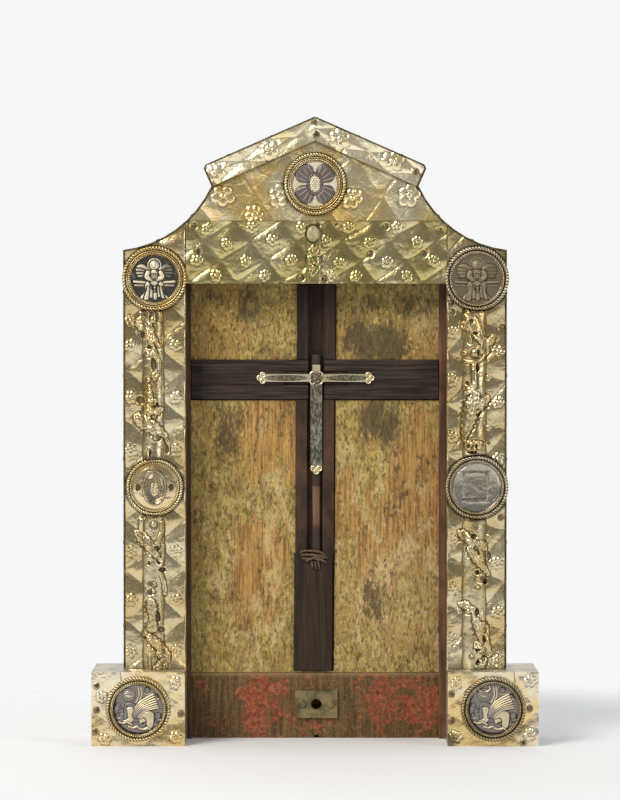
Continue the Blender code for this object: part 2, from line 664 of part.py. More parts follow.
def make_gable():
    """The pediment field and the two raised bands of the chevron."""
    arc_side = shoulder_points(LINTEL_TOP + GAP / 2, NECK - GAP)
    neck_x, neck_z = facing_path()[9]
    low_apex = APEX - CHEVRON_DROP
    outline = arc_side + [(neck_x, neck_z - GAP), (0.0, low_apex - GAP)]
    outline += mirrored([(neck_x, neck_z - GAP)] + arc_side[::-1])
    lattice = ((0.0, LINTEL_TOP), (GABLE_CELL_PITCH, 0.0),
               ((GABLE_CELL_SKEW, -GABLE_CELL_ROW), (GABLE_CELL_PITCH - GABLE_CELL_SKEW, GABLE_CELL_ROW)))
    field, _ = relief_sheet("pediment_sheet", outline, lattice, LATTICE_RELIEF / 2, SHEET_BACK,
                            SHEET_THICKNESS, WARM_GILT)
    x, z, radius = medallions()["crest"][:3]
    seat = round_cutter("crest_seat", x, z, radius + GAP, SHEET_FRONT - SEAT_DEPTH, SHEET_FRONT + 0.01)
    combine(field, seat, "DIFFERENCE")
    flowers = bmesh.new()
    flower = LARGE_ROSETTE_RADIUS * 0.9
    spots = within([], ((0.07, 0.45), (0.3, 0.45), (0.185, 0.14), (0.93, 0.45), (0.72, 0.3)),
                   -neck_x, neck_x, LINTEL_TOP, neck_z)
    spots = [(px, max(pz, LINTEL_TOP + flower + GAP)) for px, pz in spots]
    spots = clear_of(spots, [(x, z, radius)], flower)
    add_rosettes(flowers, [(*spot, LATTICE_RELIEF / 2) for spot in spots], SHEET_FRONT, flower)
    combine(field, helper_of("pediment_flowers", flowers), "UNION")
    path = facing_path()
    slope = (path[-1][1] - path[-2][1]) / path[-2][0]
    for side, sign in (("left", -1), ("right", 1)):
        joint = GAP / 2
        band = [path[9], path[10], path[11], (joint, path[-1][1] - slope * joint),
                (joint, low_apex - slope * joint)]
        chevron = plate(f"{side}_chevron", [(sign * px, pz) for px, pz in band], SHEET_BACK,
                        SHEET_THICKNESS + CHEVRON_RISE, PALE_GILT)
        face = SHEET_FRONT + CHEVRON_RISE
        bosses = bmesh.new()
        middle = CHEVRON_DROP / 2
        run = path[-2][0]
        flowers_at = [(sign * run * share, path[-1][1] - slope * run * share - middle, 0.0)
                      for share in (0.3, 0.62, 0.9)]
        add_rosettes(bosses, flowers_at, face, LARGE_ROSETTE_RADIUS * 0.85)
        add_nails(bosses, [(sign * run * 0.04, path[-1][1] - slope * run * 0.04 - middle * 0.6)], face)
        combine(chevron, helper_of(f"{side}_chevron_bosses", bosses), "UNION")


def add_column(shape, x, bottom, top, front):
    """A half-round shaft with its flat back inside the sheet."""
    place = Matrix.Translation((x, at(front), bottom)) @ Matrix.Diagonal((COLUMN_RADIUS, COLUMN_RISE, 1, 1))
    ring = bmesh.ops.create_circle(shape, cap_ends=True, segments=10, radius=1.0, matrix=place)["verts"]
    face = ring[0].link_faces[0]
    geometry = ring + list(face.edges) + [face]
    half = bmesh.ops.bisect_plane(shape, geom=geometry, dist=0.00001, clear_outer=True,
                                  plane_co=(0.0, at(front - SHEET_THICKNESS / 2), 0.0),
                                  plane_no=(0.0, 1.0, 0.0))["geom"]
    faces = [item for item in half if isinstance(item, bmesh.types.BMFace)]
    grown = bmesh.ops.extrude_face_region(shape, geom=faces, use_keep_orig=True)["geom"]
    verts = [item for item in grown if isinstance(item, bmesh.types.BMVert)]
    bmesh.ops.translate(shape, vec=(0.0, 0.0, top - bottom), verts=verts)


def stem_shape(name, x, levels, front):
    """Stems that cross the shaft from upper left to lower right, each half a turn of a helix."""
    curve = bpy.data.curves.new(name, "CURVE")
    curve.dimensions = "3D"
    curve.bevel_depth = STEM_RADIUS
    curve.bevel_resolution = 0
    curve.use_fill_caps = True
    steps = 4
    for level in levels:
        spline = curve.splines.new("POLY")
        spline.points.add(steps)
        for step, point in enumerate(spline.points):
            angle = math.radians(172 - 164 * step / steps)
            reach = math.cos(angle)
            point.co = (x + (COLUMN_RADIUS + STEM_RADIUS * 0.6) * reach,
                        at(front + (COLUMN_RISE + STEM_RADIUS * 0.4) * math.sin(angle)),
                        level - STEM_DROP * reach, 1.0)
    path = bpy.data.objects.new(name, curve)
    HELPERS.objects.link(path)
    return evaluated_shape(path)


def make_uprights():
    """Embossed upright sheets with a shoulder corner, a half-round shaft and a winding vine."""
    nail_shares = {"left": ((0.5, 0.99), (0.95, 0.3), (0.05, 0.62), (0.06, 0.14)),
                   "right": ((0.07, 0.88), (0.92, 0.86), (0.9, 0.33), (0.07, 0.52))}
    for side, sign, inner in (("left", -1, INNER_LEFT), ("right", 1, INNER_RIGHT)):
        skew = RIGHT_CELL_SKEW if side == "right" else 0.0
        facing = facing_path()
        outer_x = facing[0][0]
        inner_x = abs(inner) + GAP / 2
        corner = [(px, pz) for px, pz in facing[1:10] if px > inner_x]
        outline = [(inner_x, BODY_BASE), (outer_x, BODY_BASE), *corner, (inner_x, shoulder_height(inner_x))]
        outline = [(sign * px, pz) for px, pz in outline]
        width = outer_x - inner_x
        low = min(sign * inner_x, sign * outer_x)
        pitch = UPRIGHT_CELL_PITCH
        lattice = ((low, OPENING_TOP - pitch * 0.95), (0.0, pitch),
                   ((width, pitch * (1 + skew)), (width, -pitch * (1 - skew))))
        sheet, middles = relief_sheet(f"{side}_upright_sheet", outline, lattice, LATTICE_RELIEF,
                                      SHEET_BACK, SHEET_THICKNESS, PINK_GILT)
        seats = []
        for place in ("top", "middle"):
            x, z, radius = medallions()[f"{place}_{side}"][:3]
            seats.append((x, z, radius + GAP))
            seat = round_cutter(f"{place}_{side}_seat", x, z, radius + GAP, SHEET_FRONT - SEAT_DEPTH,
                                SHEET_FRONT + 0.01)
            combine(sheet, seat, "DIFFERENCE")
        (x, top_z, top_r), (_, middle_z, middle_r) = seats
        runs = [(BODY_BASE + 2 * GAP, middle_z - middle_r - GAP),
                (middle_z + middle_r + GAP, top_z - top_r - GAP)]
        column = bmesh.new()
        for bottom, top in runs:
            add_column(column, x, bottom, top, SHEET_FRONT)
        combine(sheet, helper_of(f"{side}_columns", column), "UNION")
        levels = stem_levels(runs)
        stems = stem_shape(f"{side}_stems", x, levels, SHEET_FRONT)
        combine(sheet, helper_of(f"{side}_vine_stems", stems), "UNION")
        leaves = bmesh.new()
        add_leaves(leaves, x, levels)
        combine(sheet, helper_of(f"{side}_vine_leaves", leaves), "UNION")
        low, high = sorted((sign * inner_x, sign * outer_x))
        reach = ROSETTE_RADIUS + GAP
        spots = [(min(max(mx, low + reach), high - reach), mz, lift) for mx, mz, lift in middles
                 if abs(mx - x) > COLUMN_RADIUS + ROSETTE_RADIUS * 0.6]
        spots = [(low + reach if mx < x else high - reach, mz, lift * 0.6) for mx, mz, lift in spots
                 if mz > BODY_BASE + reach * 1.2]
        spots = spaced(clear_of(spots, seats, ROSETTE_RADIUS), ROSETTE_RADIUS * 3)
        bosses = bmesh.new()
        add_rosettes(bosses, spots, SHEET_FRONT, ROSETTE_RADIUS)
        taken = [(mx, mz, ROSETTE_RADIUS) for mx, mz, _ in spots] + seats
        places = within([], nail_shares[side], low, high, BODY_BASE, OPENING_TOP)
        places = [(px, pz) for px, pz in places if abs(px - x) > COLUMN_RADIUS + NAIL_RADIUS]
        add_nails(bosses, clear_of(places, taken, NAIL_RADIUS), SHEET_FRONT, LATTICE_RELIEF / 3)
        combine(sheet, helper_of(f"{side}_upright_bosses", bosses), "UNION")


def stem_levels(runs):
    """Heights at which the vine crosses the front of the shaft."""
    levels = []
    for bottom, top in runs:
        margin = STEM_DROP + LEAF_LENGTH * 1.6
        count = max(1, round((top - bottom - 2 * margin) / STEM_PITCH) + 1)
        for index in range(count):
            share = index / (count - 1) if count > 1 else 0.5
            levels.append(bottom + margin + (top - bottom - 2 * margin) * share)
    return levels


def add_leaves(shape, x, levels):
    """A leaf where each stem starts and one where it ends."""
    for level in levels:
        for sign in (-1, 1):
            add_stud(shape, x + sign * COLUMN_RADIUS * 0.7, level - sign * (STEM_DROP + LEAF_LENGTH * 0.5),
                     SHEET_FRONT - SHEET_THICKNESS * 0.5, COLUMN_RISE * 1.02 + SHEET_THICKNESS * 0.5,
                     LEAF_LENGTH, LEAF_LENGTH * 0.45, ROSETTE_SIDES, stretch=LEAF_WIDTH / LEAF_LENGTH,
                     turn=sign * 0.6)


def make_feet():
    """Metal casings round the feet, and their nailed fronts."""
    nail_shares = {"left": ((0.06, 0.86), (0.06, 0.52), (0.06, 0.12), (0.95, 0.46)),
                   "right": ((0.05, 0.7), (0.05, 0.32), (0.86, 0.53), (0.8, 0.07))}
    rosette_shares = ((0.1, 0.1), (0.9, 0.1), (0.1, 0.9), (0.9, 0.9))
    for side, sign, inner in (("left", -1, INNER_LEFT), ("right", 1, INNER_RIGHT)):
        wall = LINING_THICKNESS
        low, high = sorted((inner, sign * HALF_WIDTH))
        outline = [(low, 0.0), (low, FOOT_HEIGHT), (high, FOOT_HEIGHT), (high, 0.0),
                   (high - wall, 0.0), (high - wall, FOOT_HEIGHT - wall),
                   (low + wall, FOOT_HEIGHT - wall), (low + wall, 0.0)]
        plate(f"{side}_foot_casing", outline, 0.0, FOOT_FRONT - SHEET_THICKNESS - GAP, GREY_GILT)
        front = box(f"{side}_foot_sheet", low, high, FOOT_FRONT - SHEET_THICKNESS, FOOT_FRONT, 0.0,
                    FOOT_HEIGHT, PINK_GILT)
        soften_corners(front)
        disc = medallions()[f"foot_{side}"][:3]
        flowers = within([], rosette_shares, low, high, 0.0, FOOT_HEIGHT)
        flowers = clear_of(flowers, [disc], ROSETTE_RADIUS)
        places = within([], nail_shares[side], low, high, 0.0, FOOT_HEIGHT)
        taken = [disc] + [(x, z, ROSETTE_RADIUS) for x, z in flowers]
        bosses = bmesh.new()
        add_rosettes(bosses, [(*spot, 0.0) for spot in flowers], FOOT_FRONT, ROSETTE_RADIUS)
        add_nails(bosses, clear_of(places, taken, NAIL_RADIUS), FOOT_FRONT)
        combine(front, helper_of(f"{side}_foot_bosses", bosses), "UNION")


def soften_corners(obj):
    """Rounds the four corners of a front sheet, seen from the front."""
    shape = bmesh.new()
    shape.from_mesh(obj.data)
    corners = [edge for edge in shape.edges
               if abs(edge.verts[0].co.y - edge.verts[1].co.y) > SHEET_THICKNESS / 2]
    bmesh.ops.bevel(shape, geom=corners, offset=FOOT_CORNER_RADIUS, segments=2, profile=0.5,
                    affect="EDGES")
    shape.to_mesh(obj.data)
    shape.free()


def make_linings():
    """Dark metal strips nailed round the edge of the body, one on each side."""
    outer = edge_path()
    inner = offset_path(outer, LINING_THICKNESS)
    for side, sign in (("left", -1), ("right", 1)):
        outside = outer[:-1] + [(GAP / 2, outer[-1][1])]
        inside = inner[:-1] + [(GAP / 2, outer[-1][1] - LINING_THICKNESS * 1.08)]
        outline = [(sign * x, z) for x, z in outside + inside[::-1]]
        strip = plate(f"{side}_edge_lining", outline, 0.0, SHEET_FRONT, DARK_METAL)
        studs = bmesh.new()
        for share in (0.1, 0.3, 0.5, 0.7, 0.9):
            start, end = Vector(outer[0]), Vector(outer[1])
            add_edge_nail(studs, start.lerp(end, share), end - start, sign)
        for index in (3, 6):
            start, end = Vector(outer[index]), Vector(outer[index + 1])
            add_edge_nail(studs, start.lerp(end, 0.5), end - start, sign)
        for share in (0.2, 0.6):
            start, end = Vector(outer[-2]), Vector(outer[-1])
            add_edge_nail(studs, start.lerp(end, share), end - start, sign)
        combine(strip, helper_of(f"{side}_edge_nails", studs), "UNION")


def add_edge_nail(shape, point, run, sign):
    """A nail head that stands out of the edge, at right angles to it."""
    outward = Vector((run.y, 0.0, -run.x)).normalized()
    outward.x *= sign
    centre = Vector((sign * point.x, at(SHEET_FRONT * 0.72), point.y)) + outward * NAIL_HEIGHT * 0.1
    turn = Vector((0.0, 0.0, 1.0)).rotation_difference(outward).to_matrix().to_4x4()
    bmesh.ops.create_cone(shape, cap_ends=True, segments=STUD_SIDES, radius1=NAIL_RADIUS,
                          radius2=NAIL_RADIUS * 0.6, depth=NAIL_HEIGHT * 1.2,
                          matrix=Matrix.Translation(centre) @ turn)


def make_bezels():
    """Rope-bordered rings, turned from one profile."""
    for name, (x, z, radius, rim, seat) in medallions().items():
        profile = [(radius - rim, 0.0), (radius - rim, BEZEL_HEIGHT * 0.86),
                   (radius - rim * 0.55, BEZEL_HEIGHT * 0.66), (radius - rim * 0.3, BEZEL_HEIGHT),
                   (radius, BEZEL_HEIGHT * 0.62), (radius, 0.0)]
        mesh = bpy.data.meshes.new(f"{name}_profile")
        links = [(index, (index + 1) % len(profile)) for index in range(len(profile))]
        mesh.from_pydata([(r, 0.0, h) for r, h in profile], links, [])
        turned = bpy.data.objects.new(f"{name}_turned", mesh)
        HELPERS.objects.link(turned)
        screw = turned.modifiers.new("Turn", "SCREW")
        screw.steps = RING_SIDES
        screw.render_steps = RING_SIDES
        screw.use_merge_vertices = True
        screw.merge_threshold = 0.00001
        ring = evaluated_shape(turned)
        twist_rope(ring, radius - rim * 0.35)
        stand = Matrix.Translation((x, at(seat), z)) @ Matrix.Rotation(math.pi / 2, 4, "X")
        bmesh.ops.transform(ring, matrix=stand, verts=ring.verts)
        object_of(f"{name}_bezel", ring, BEZEL_FINISHES[name], MODEL)


def twist_rope(ring, rope_start):
    """Pushes every other point of the rope out and forward, as its strands do."""
    for vert in ring.verts:
        reach = math.hypot(vert.co.x, vert.co.y)
        if reach < rope_start or vert.co.z < BEZEL_HEIGHT * 0.3:
            continue
        step = round(math.atan2(vert.co.y, vert.co.x) / (2 * math.pi / RING_SIDES))
        if step % 2:
            vert.co.z += ROPE_BUMP
        else:
            vert.co.x *= 1 - ROPE_BUMP / reach
            vert.co.y *= 1 - ROPE_BUMP / reach


# Low relief of the discs: across, up, half width, half height (shares of the radius), turn in
# degrees and share of the relief
SEATED_FIGURE = ((0.0, 0.5, 0.27, 0.27, 0, 0.5), (0.0, 0.47, 0.15, 0.18, 0, 1.0),
                 (0.0, 0.05, 0.26, 0.34, 0, 0.8), (-0.2, -0.5, 0.17, 0.36, 20, 0.7),
                 (0.2, -0.5, 0.17, 0.36, -20, 0.75), (-0.48, 0.2, 0.14, 0.46, -28, 0.6),
                 (0.48, 0.2, 0.14, 0.46, 28, 0.65))
WINGED_LION = ((-0.36, 0.46, 0.26, 0.26, 0, 0.5), (-0.36, 0.42, 0.16, 0.2, 0, 1.0),
               (-0.36, -0.1, 0.17, 0.36, 8, 0.8), (0.02, -0.28, 0.45, 0.2, 6, 0.75),
               (0.38, -0.4, 0.22, 0.32, -12, 0.85), (0.24, 0.14, 0.13, 0.52, 48, 0.65),
               (-0.02, 0.5, 0.1, 0.36, 6, 0.6), (-0.32, -0.66, 0.08, 0.26, -30, 0.7),
               (0.18, -0.72, 0.32, 0.08, 4, 0.55), (0.74, -0.12, 0.08, 0.34, -16, 0.5))
WINGED_OX = ((-0.3, 0.4, 0.3, 0.24, 0, 0.5), (-0.26, 0.3, 0.2, 0.22, -30, 1.0),
             (-0.32, -0.16, 0.2, 0.36, 0, 0.8), (0.04, -0.24, 0.46, 0.24, 4, 0.75),
             (0.36, -0.42, 0.24, 0.24, 0, 0.9), (0.4, 0.16, 0.14, 0.46, 62, 0.65),
             (0.02, 0.56, 0.09, 0.34, 12, 0.6), (-0.36, -0.64, 0.08, 0.26, -24, 0.7),
             (0.2, -0.72, 0.3, 0.08, 6, 0.55))
FOUR_LOBES = ((0.0, 0.0, 0.26, 0.4, 0, 1.0), (-0.5, 0.42, 0.26, 0.34, 50, 0.6),
              (0.5, 0.42, 0.26, 0.34, -50, 0.65), (-0.5, -0.42, 0.26, 0.34, -50, 0.7),
              (0.5, -0.42, 0.26, 0.34, 50, 0.75))


def make_discs():
    """The inlaid discs with their figures in low relief."""
    figures = {"crest": FOUR_LOBES, "top_left": SEATED_FIGURE, "top_right": SEATED_FIGURE,
               "foot_left": WINGED_LION, "foot_right": WINGED_OX}
    for name, figure in figures.items():
        x, z, radius, rim, base = medallions()[name]
        reach = radius - rim - GAP
        shape = bmesh.new()
        add_stud(shape, x, z, base, DISC_THICKNESS, reach, reach, RING_SIDES)
        disc = object_of(f"{name}_disc", shape, DISC_FINISHES[name], MODEL)
        for index, (across, up, half_width, half_height, turn, share) in enumerate(figure):
            pad = bmesh.new()
            sink = DISC_THICKNESS * (0.35 + 0.03 * index)
            add_stud(pad, x + across * reach, z + up * reach, base + DISC_THICKNESS - sink,
                     sink + FIGURE_RELIEF * share, half_height * reach, half_height * reach * 0.6,
                     STUD_SIDES, stretch=half_width / half_height, turn=math.radians(turn))
            combine(disc, helper_of(f"{name}_pad_{index}", pad), "UNION")


def make_crystals():
    """A step-cut round crystal, and an oval one in a gilt dish."""
    x, z, radius, rim, base = medallions()["middle_right"]
    reach = radius - rim - GAP
    round_shape = bmesh.new()
    add_stud(round_shape, x, z, base, CRYSTAL_HEIGHT * 0.8, reach, reach * 0.86, RING_SIDES)
    crystal = object_of("round_crystal", round_shape, CRYSTAL, MODEL)
    step = bmesh.new()
    add_box(step, x - TABLE_WIDTH / 2, x + TABLE_WIDTH / 2, base + CRYSTAL_HEIGHT * 0.3,
            base + CRYSTAL_HEIGHT, z - TABLE_HEIGHT / 2, z + TABLE_HEIGHT / 2)
    combine(crystal, helper_of("crystal_table", step), "UNION")
    x, z, radius, rim, base = medallions()["middle_left"]
    reach = radius - rim - GAP
    dish = bmesh.new()
    add_stud(dish, x, z, base, DISC_THICKNESS + DISH_SINK, reach, reach, RING_SIDES)
    front_y = at(base + DISC_THICKNESS + DISH_SINK)
    top = [face for face in dish.faces if abs(face.calc_center_median().y - front_y) < 0.00001]
    bmesh.ops.inset_region(dish, faces=top, thickness=DISH_RIM, depth=-DISH_SINK)
    object_of("gilt_dish", dish, WARM_GILT, MODEL)
    oval = bmesh.new()
    floor = base + DISC_THICKNESS + GAP
    bmesh.ops.create_uvsphere(oval, u_segments=12, v_segments=6, radius=1.0)
    scale = Matrix.Diagonal((OVAL_CRYSTAL_WIDTH / 2, CRYSTAL_HEIGHT, OVAL_CRYSTAL_HEIGHT / 2, 1.0))
    bmesh.ops.transform(oval, matrix=Matrix.Translation((x, at(floor), z)) @ scale, verts=oval.verts)
    bmesh.ops.bisect_plane(oval, geom=oval.verts[:] + oval.edges[:] + oval.faces[:], dist=0.00001,
                           plane_co=(0.0, at(floor), 0.0), plane_no=(0.0, 1.0, 0.0), clear_outer=True)
    bmesh.ops.holes_fill(oval, edges=[edge for edge in oval.edges if edge.is_boundary], sides=0)
    object_of("oval_crystal", oval, CRYSTAL, MODEL)


def make_strap():
    """The narrow strap on the lintel's middle, with a pale stone at its top."""
    x = strap_middle()
    back = SHEET_FRONT + LATTICE_RELIEF + GAP
    bottom = OPENING_TOP
    strap = box("centre_strap", x - STRAP_WIDTH / 2, x + STRAP_WIDTH / 2, back, back + STRAP_THICKNESS,
                bottom, LINTEL_TOP - GAP - NAIL_RADIUS, GREEN_GILT)
    stone_z = LINTEL_TOP - NAIL_RADIUS - STONE_LENGTH * 0.62
    knobs = bmesh.new()
    for share in (0.16, 0.4, 0.56):
        add_stud(knobs, x, bottom + LINTEL_HEIGHT * share, back + STRAP_THICKNESS / 2,
                 STRAP_THICKNESS / 2 + ROSETTE_HEIGHT, STRAP_WIDTH * 0.36, STRAP_WIDTH * 0.2,
                 ROSETTE_SIDES)
    combine(strap, helper_of("strap_knobs", knobs), "UNION")
    stone = bmesh.new()
    add_stud(stone, x, stone_z, back + STRAP_THICKNESS + GAP, STONE_RISE, STONE_LENGTH / 2,
             STONE_LENGTH * 0.3, 8, stretch=STONE_WIDTH / STONE_LENGTH)
    object_of("strap_stone", stone, PALE_STONE, MODEL)


def make_hole_plate():
    """Brass plate over the hole in the rail, with its two screws."""
    x = plate_middle()
    back = BOARD_THICKNESS + GAP
    brass = box("brass_plate", x - PLATE_WIDTH / 2, x + PLATE_WIDTH / 2, back, back + PLATE_THICKNESS,
                PLATE_ABOVE_FLOOR - PLATE_HEIGHT / 2, PLATE_ABOVE_FLOOR + PLATE_HEIGHT / 2, BRASS)
    hole = round_cutter("plate_hole", x, PLATE_ABOVE_FLOOR, PLATE_HOLE_RADIUS, back - 0.001,
                        back + PLATE_THICKNESS + 0.001)
    combine(brass, hole, "DIFFERENCE")
    for side, sign in (("left", -1), ("right", 1)):
        screw = bmesh.new()
        face = back + PLATE_THICKNESS + GAP
        add_stud(screw, x + sign * PLATE_SCREW_SPACING / 2, PLATE_ABOVE_FLOOR, face, SCREW_HEIGHT,
                 SCREW_RADIUS, SCREW_RADIUS * 0.8, 12)
        object_of(f"{side}_plate_screw", screw, BRASS, MODEL)


clear_scene()
MODEL = new_collection("panel_reliquary")
HELPERS = new_collection("cutters")

OAK = finish_of("oak", (0.25, 0.15, 0.08), 0.7, 0.0)
OAK_TRIM = finish_of("red_brown_oak", (0.27, 0.13, 0.07), 0.7, 0.0)
PAINTED_OAK = finish_of("ochre_painted_oak", (0.46, 0.32, 0.12), 0.8, 0.0)
PAINTED_RAIL = finish_of("red_painted_oak", (0.34, 0.12, 0.07), 0.8, 0.0)
DARK_WOOD = finish_of("dark_wood", (0.055, 0.03, 0.025), 0.55, 0.0)
RELIC_WOOD = finish_of("relic_wood", (0.16, 0.08, 0.045), 0.75, 0.0)
TIE_WOOD = finish_of("tie", (0.12, 0.055, 0.035), 0.7, 0.0)
SILVER = finish_of("silver_gilt", (0.72, 0.66, 0.5), 0.35, 1.0)
GREEN_GILT = finish_of("greenish_gilt", (0.66, 0.58, 0.33), 0.35, 1.0)
WARM_GILT = finish_of("warm_gilt", (0.82, 0.6, 0.26), 0.35, 1.0)
PALE_GILT = finish_of("pale_gilt", (0.8, 0.68, 0.42), 0.35, 1.0)
PINK_GILT = finish_of("pink_gilt", (0.8, 0.66, 0.43), 0.38, 1.0)
GREY_GILT = finish_of("grey_gilt", (0.6, 0.56, 0.48), 0.45, 1.0)
DARK_METAL = finish_of("dark_metal", (0.1, 0.08, 0.06), 0.5, 1.0)
NIELLO = finish_of("niello", (0.05, 0.06, 0.055), 0.4, 1.0)
WORN_SILVER = finish_of("worn_silver", (0.4, 0.38, 0.34), 0.45, 1.0)
BRONZE = finish_of("bronze_rope", (0.4, 0.33, 0.22), 0.4, 1.0)
CRYSTAL = finish_of("rock_crystal", (0.85, 0.87, 0.86), 0.08, 0.0)
PALE_STONE = finish_of("pale_stone", (0.6, 0.62, 0.5), 0.3, 0.0)
BRASS = finish_of("old_brass", (0.45, 0.33, 0.13), 0.45, 1.0)
BEZEL_FINISHES = {"crest": WARM_GILT, "top_left": WARM_GILT, "top_right": BRONZE,
                  "middle_left": WARM_GILT, "middle_right": BRONZE, "foot_left": WARM_GILT,
                  "foot_right": BRONZE}
DISC_FINISHES = {"crest": WORN_SILVER, "top_left": NIELLO, "top_right": WORN_SILVER,
                 "foot_left": WORN_SILVER, "foot_right": WORN_SILVER}

make_boards()
make_cross()
make_lintel()
make_gable()
make_uprights()
make_feet()
make_linings()
make_bezels()
make_discs()
make_crystals()
make_strap()
make_hole_plate()
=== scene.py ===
"""Looks of the panel reliquary: embossed gilt sheets over oak, a painted panel and a dark cross.

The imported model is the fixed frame. Metres, +Z up, and the front faces -Y.
"""

import math

import bmesh
import bpy
import numpy as np
from mathutils import Matrix, Vector, noise


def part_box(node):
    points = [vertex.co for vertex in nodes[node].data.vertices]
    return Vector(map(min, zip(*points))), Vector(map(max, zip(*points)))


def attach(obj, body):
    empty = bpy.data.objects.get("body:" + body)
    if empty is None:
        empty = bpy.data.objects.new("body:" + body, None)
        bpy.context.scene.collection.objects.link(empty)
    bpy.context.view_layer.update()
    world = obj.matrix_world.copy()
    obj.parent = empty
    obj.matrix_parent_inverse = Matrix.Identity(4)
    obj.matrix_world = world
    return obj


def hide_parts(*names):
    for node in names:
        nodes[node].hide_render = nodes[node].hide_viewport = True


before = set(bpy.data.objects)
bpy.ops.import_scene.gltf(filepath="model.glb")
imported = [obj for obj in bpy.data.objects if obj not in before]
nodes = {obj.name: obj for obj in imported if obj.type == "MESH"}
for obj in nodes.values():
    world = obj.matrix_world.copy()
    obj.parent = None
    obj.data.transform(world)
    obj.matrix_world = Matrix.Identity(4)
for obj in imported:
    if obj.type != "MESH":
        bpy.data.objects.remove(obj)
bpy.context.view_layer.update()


# ---- Oak boards ----
# Head, uprights and foot blocks of old unpainted oak, dark with handling. They show at the back,
# under the feet and in the thickness of the opening.

class Tone:
    """An output of a material's nodes, so that masks and colours read as expressions."""

    def __init__(self, tree, socket):
        self.tree = tree
        self.socket = socket

    def node(self, kind, settings, sockets, output=0):
        """Adds a node, sets it, and gives each of its named sockets a value or a Tone."""
        made = self.tree.nodes.new(kind)
        for name, value in settings.items():
            setattr(made, name, value)
        for name, value in sockets.items():
            socket = made.inputs[name]
            if isinstance(value, Tone):
                self.tree.links.new(value.socket, socket)
            elif socket.type == "RGBA":
                socket.default_value = (*value, 1.0)
            else:
                socket.default_value = value
        return Tone(self.tree, made.outputs[output])

    def maths(self, operation, first, second):
        return self.node("ShaderNodeMath", {"operation": operation}, {0: first, 1: second})

    def __add__(self, other):
        return self.maths("ADD", self, other)

    __radd__ = __add__

    def __sub__(self, other):
        return self.maths("SUBTRACT", self, other)

    def __rsub__(self, other):
        return self.maths("SUBTRACT", other, self)

    def __mul__(self, other):
        return self.maths("MULTIPLY", self, other)

    __rmul__ = __mul__

    def larger(self, other):
        return self.maths("MAXIMUM", self, other)

    def rise(self, low, high):
        """0 up to low and 1 from high on, with a smooth way between. It falls if low is larger."""
        return self.node("ShaderNodeMapRange", {"interpolation_type": "SMOOTHSTEP"},
                         {"Value": self, "From Min": low, "From Max": high})

    def blend(self, without, within):
        """The first colour where this mask is 0, and the second where it is 1."""
        return self.node("ShaderNodeMix", {"data_type": "RGBA"}, {0: self, 6: without, 7: within}, 2)

    def stretched(self, x, y, z):
        return self.node("ShaderNodeVectorMath", {"operation": "MULTIPLY"}, {0: self, 1: (x, y, z)})

    def clouds(self, scale, detail=4.0, roughness=0.55, distortion=0.0):
        return self.node("ShaderNodeTexNoise", {}, {"Vector": self, "Scale": scale, "Detail": detail,
                                                    "Roughness": roughness, "Distortion": distortion})

    def part(self, axis):
        return self.node("ShaderNodeSeparateXYZ", {}, {"Vector": self}, axis)

    def patch(self, x, z, half_width, half_height):
        """A soft oval on the front, from its middle in X and Z."""
        away = self.node("ShaderNodeVectorMath", {"operation": "SUBTRACT"}, {0: self, 1: (x, 0.0, z)})
        away = away.stretched(1 / half_width, 0.0, 1 / half_height)
        return away.length().rise(1.1, 0.3)

    def ovals(self, *places):
        """The strongest of several soft ovals on the front, each with its own strength."""
        strongest = 0.0
        for *oval, strength in places:
            strongest = (strength * self.patch(*oval)).larger(strongest)
        return strongest

    def length(self):
        return self.node("ShaderNodeVectorMath", {"operation": "LENGTH"}, {0: self}, "Value")

    def carried(self, name):
        """A value that the mesh carries at each of its points."""
        return self.node("ShaderNodeAttribute", {"attribute_name": name}, {}, "Fac")


def shade(colour, share):
    """A darker tone of a colour."""
    return tuple(share * value for value in colour)


def surface(name, metallic=0.0):
    """A new material, its shader, and the place of each point of it in metres."""
    made = bpy.data.materials.new(name)
    made.use_nodes = True
    tree = made.node_tree
    shader = tree.nodes["Principled BSDF"]
    shader.inputs["Metallic"].default_value = metallic
    if not metallic:
        shader.inputs["Specular IOR Level"].default_value = 0.25
    place = Tone(tree, tree.nodes.new("ShaderNodeTexCoord").outputs["Object"])
    return made, shader, place


def give(shader, colour, roughness, height, distance):
    """Links a colour, a roughness and a bump height to the shader."""
    tree = colour.tree
    tree.links.new(colour.socket, shader.inputs["Base Color"])
    tree.links.new(roughness.socket, shader.inputs["Roughness"])
    bump = height.node("ShaderNodeBump", {}, {"Height": height, "Strength": 1.0, "Distance": distance},
                       "Normal")
    tree.links.new(bump.socket, shader.inputs["Normal"])


def grain(place, along="Z"):
    """Fine fibres and the slower figure of a board, with its length along one axis."""
    fibres = (1.0, 1.0, 0.035) if along == "Z" else (0.035, 1.0, 1.0)
    slow = (1.0, 1.0, 0.09) if along == "Z" else (0.09, 1.0, 1.0)
    fine = place.stretched(*fibres).clouds(900.0, 3.0, 0.6)
    figure = place.stretched(*slow).clouds(130.0, 5.0, 0.6, 0.6)
    return fine, figure


def board_tone(fine, figure, dark, light):
    return (0.45 * fine + 0.55 * figure).rise(0.34, 0.66).blend(dark, light)


def plain_wood(name, dark, light, along="Z"):
    made, shader, place = surface(name)
    fine, figure = grain(place, along)
    soot = place.clouds(34.0, 5.0).rise(0.5, 0.72)
    colour = (soot * 0.6).blend(board_tone(fine, figure, dark, light), shade(dark, 0.45))
    give(shader, colour, 0.62 + 0.2 * fine, fine + 0.6 * figure, 0.0003)
    return made


def dress(material, *names):
    """Gives its material to each node that shows as it is."""
    for name in names:
        nodes[name].material_slots[0].material = material


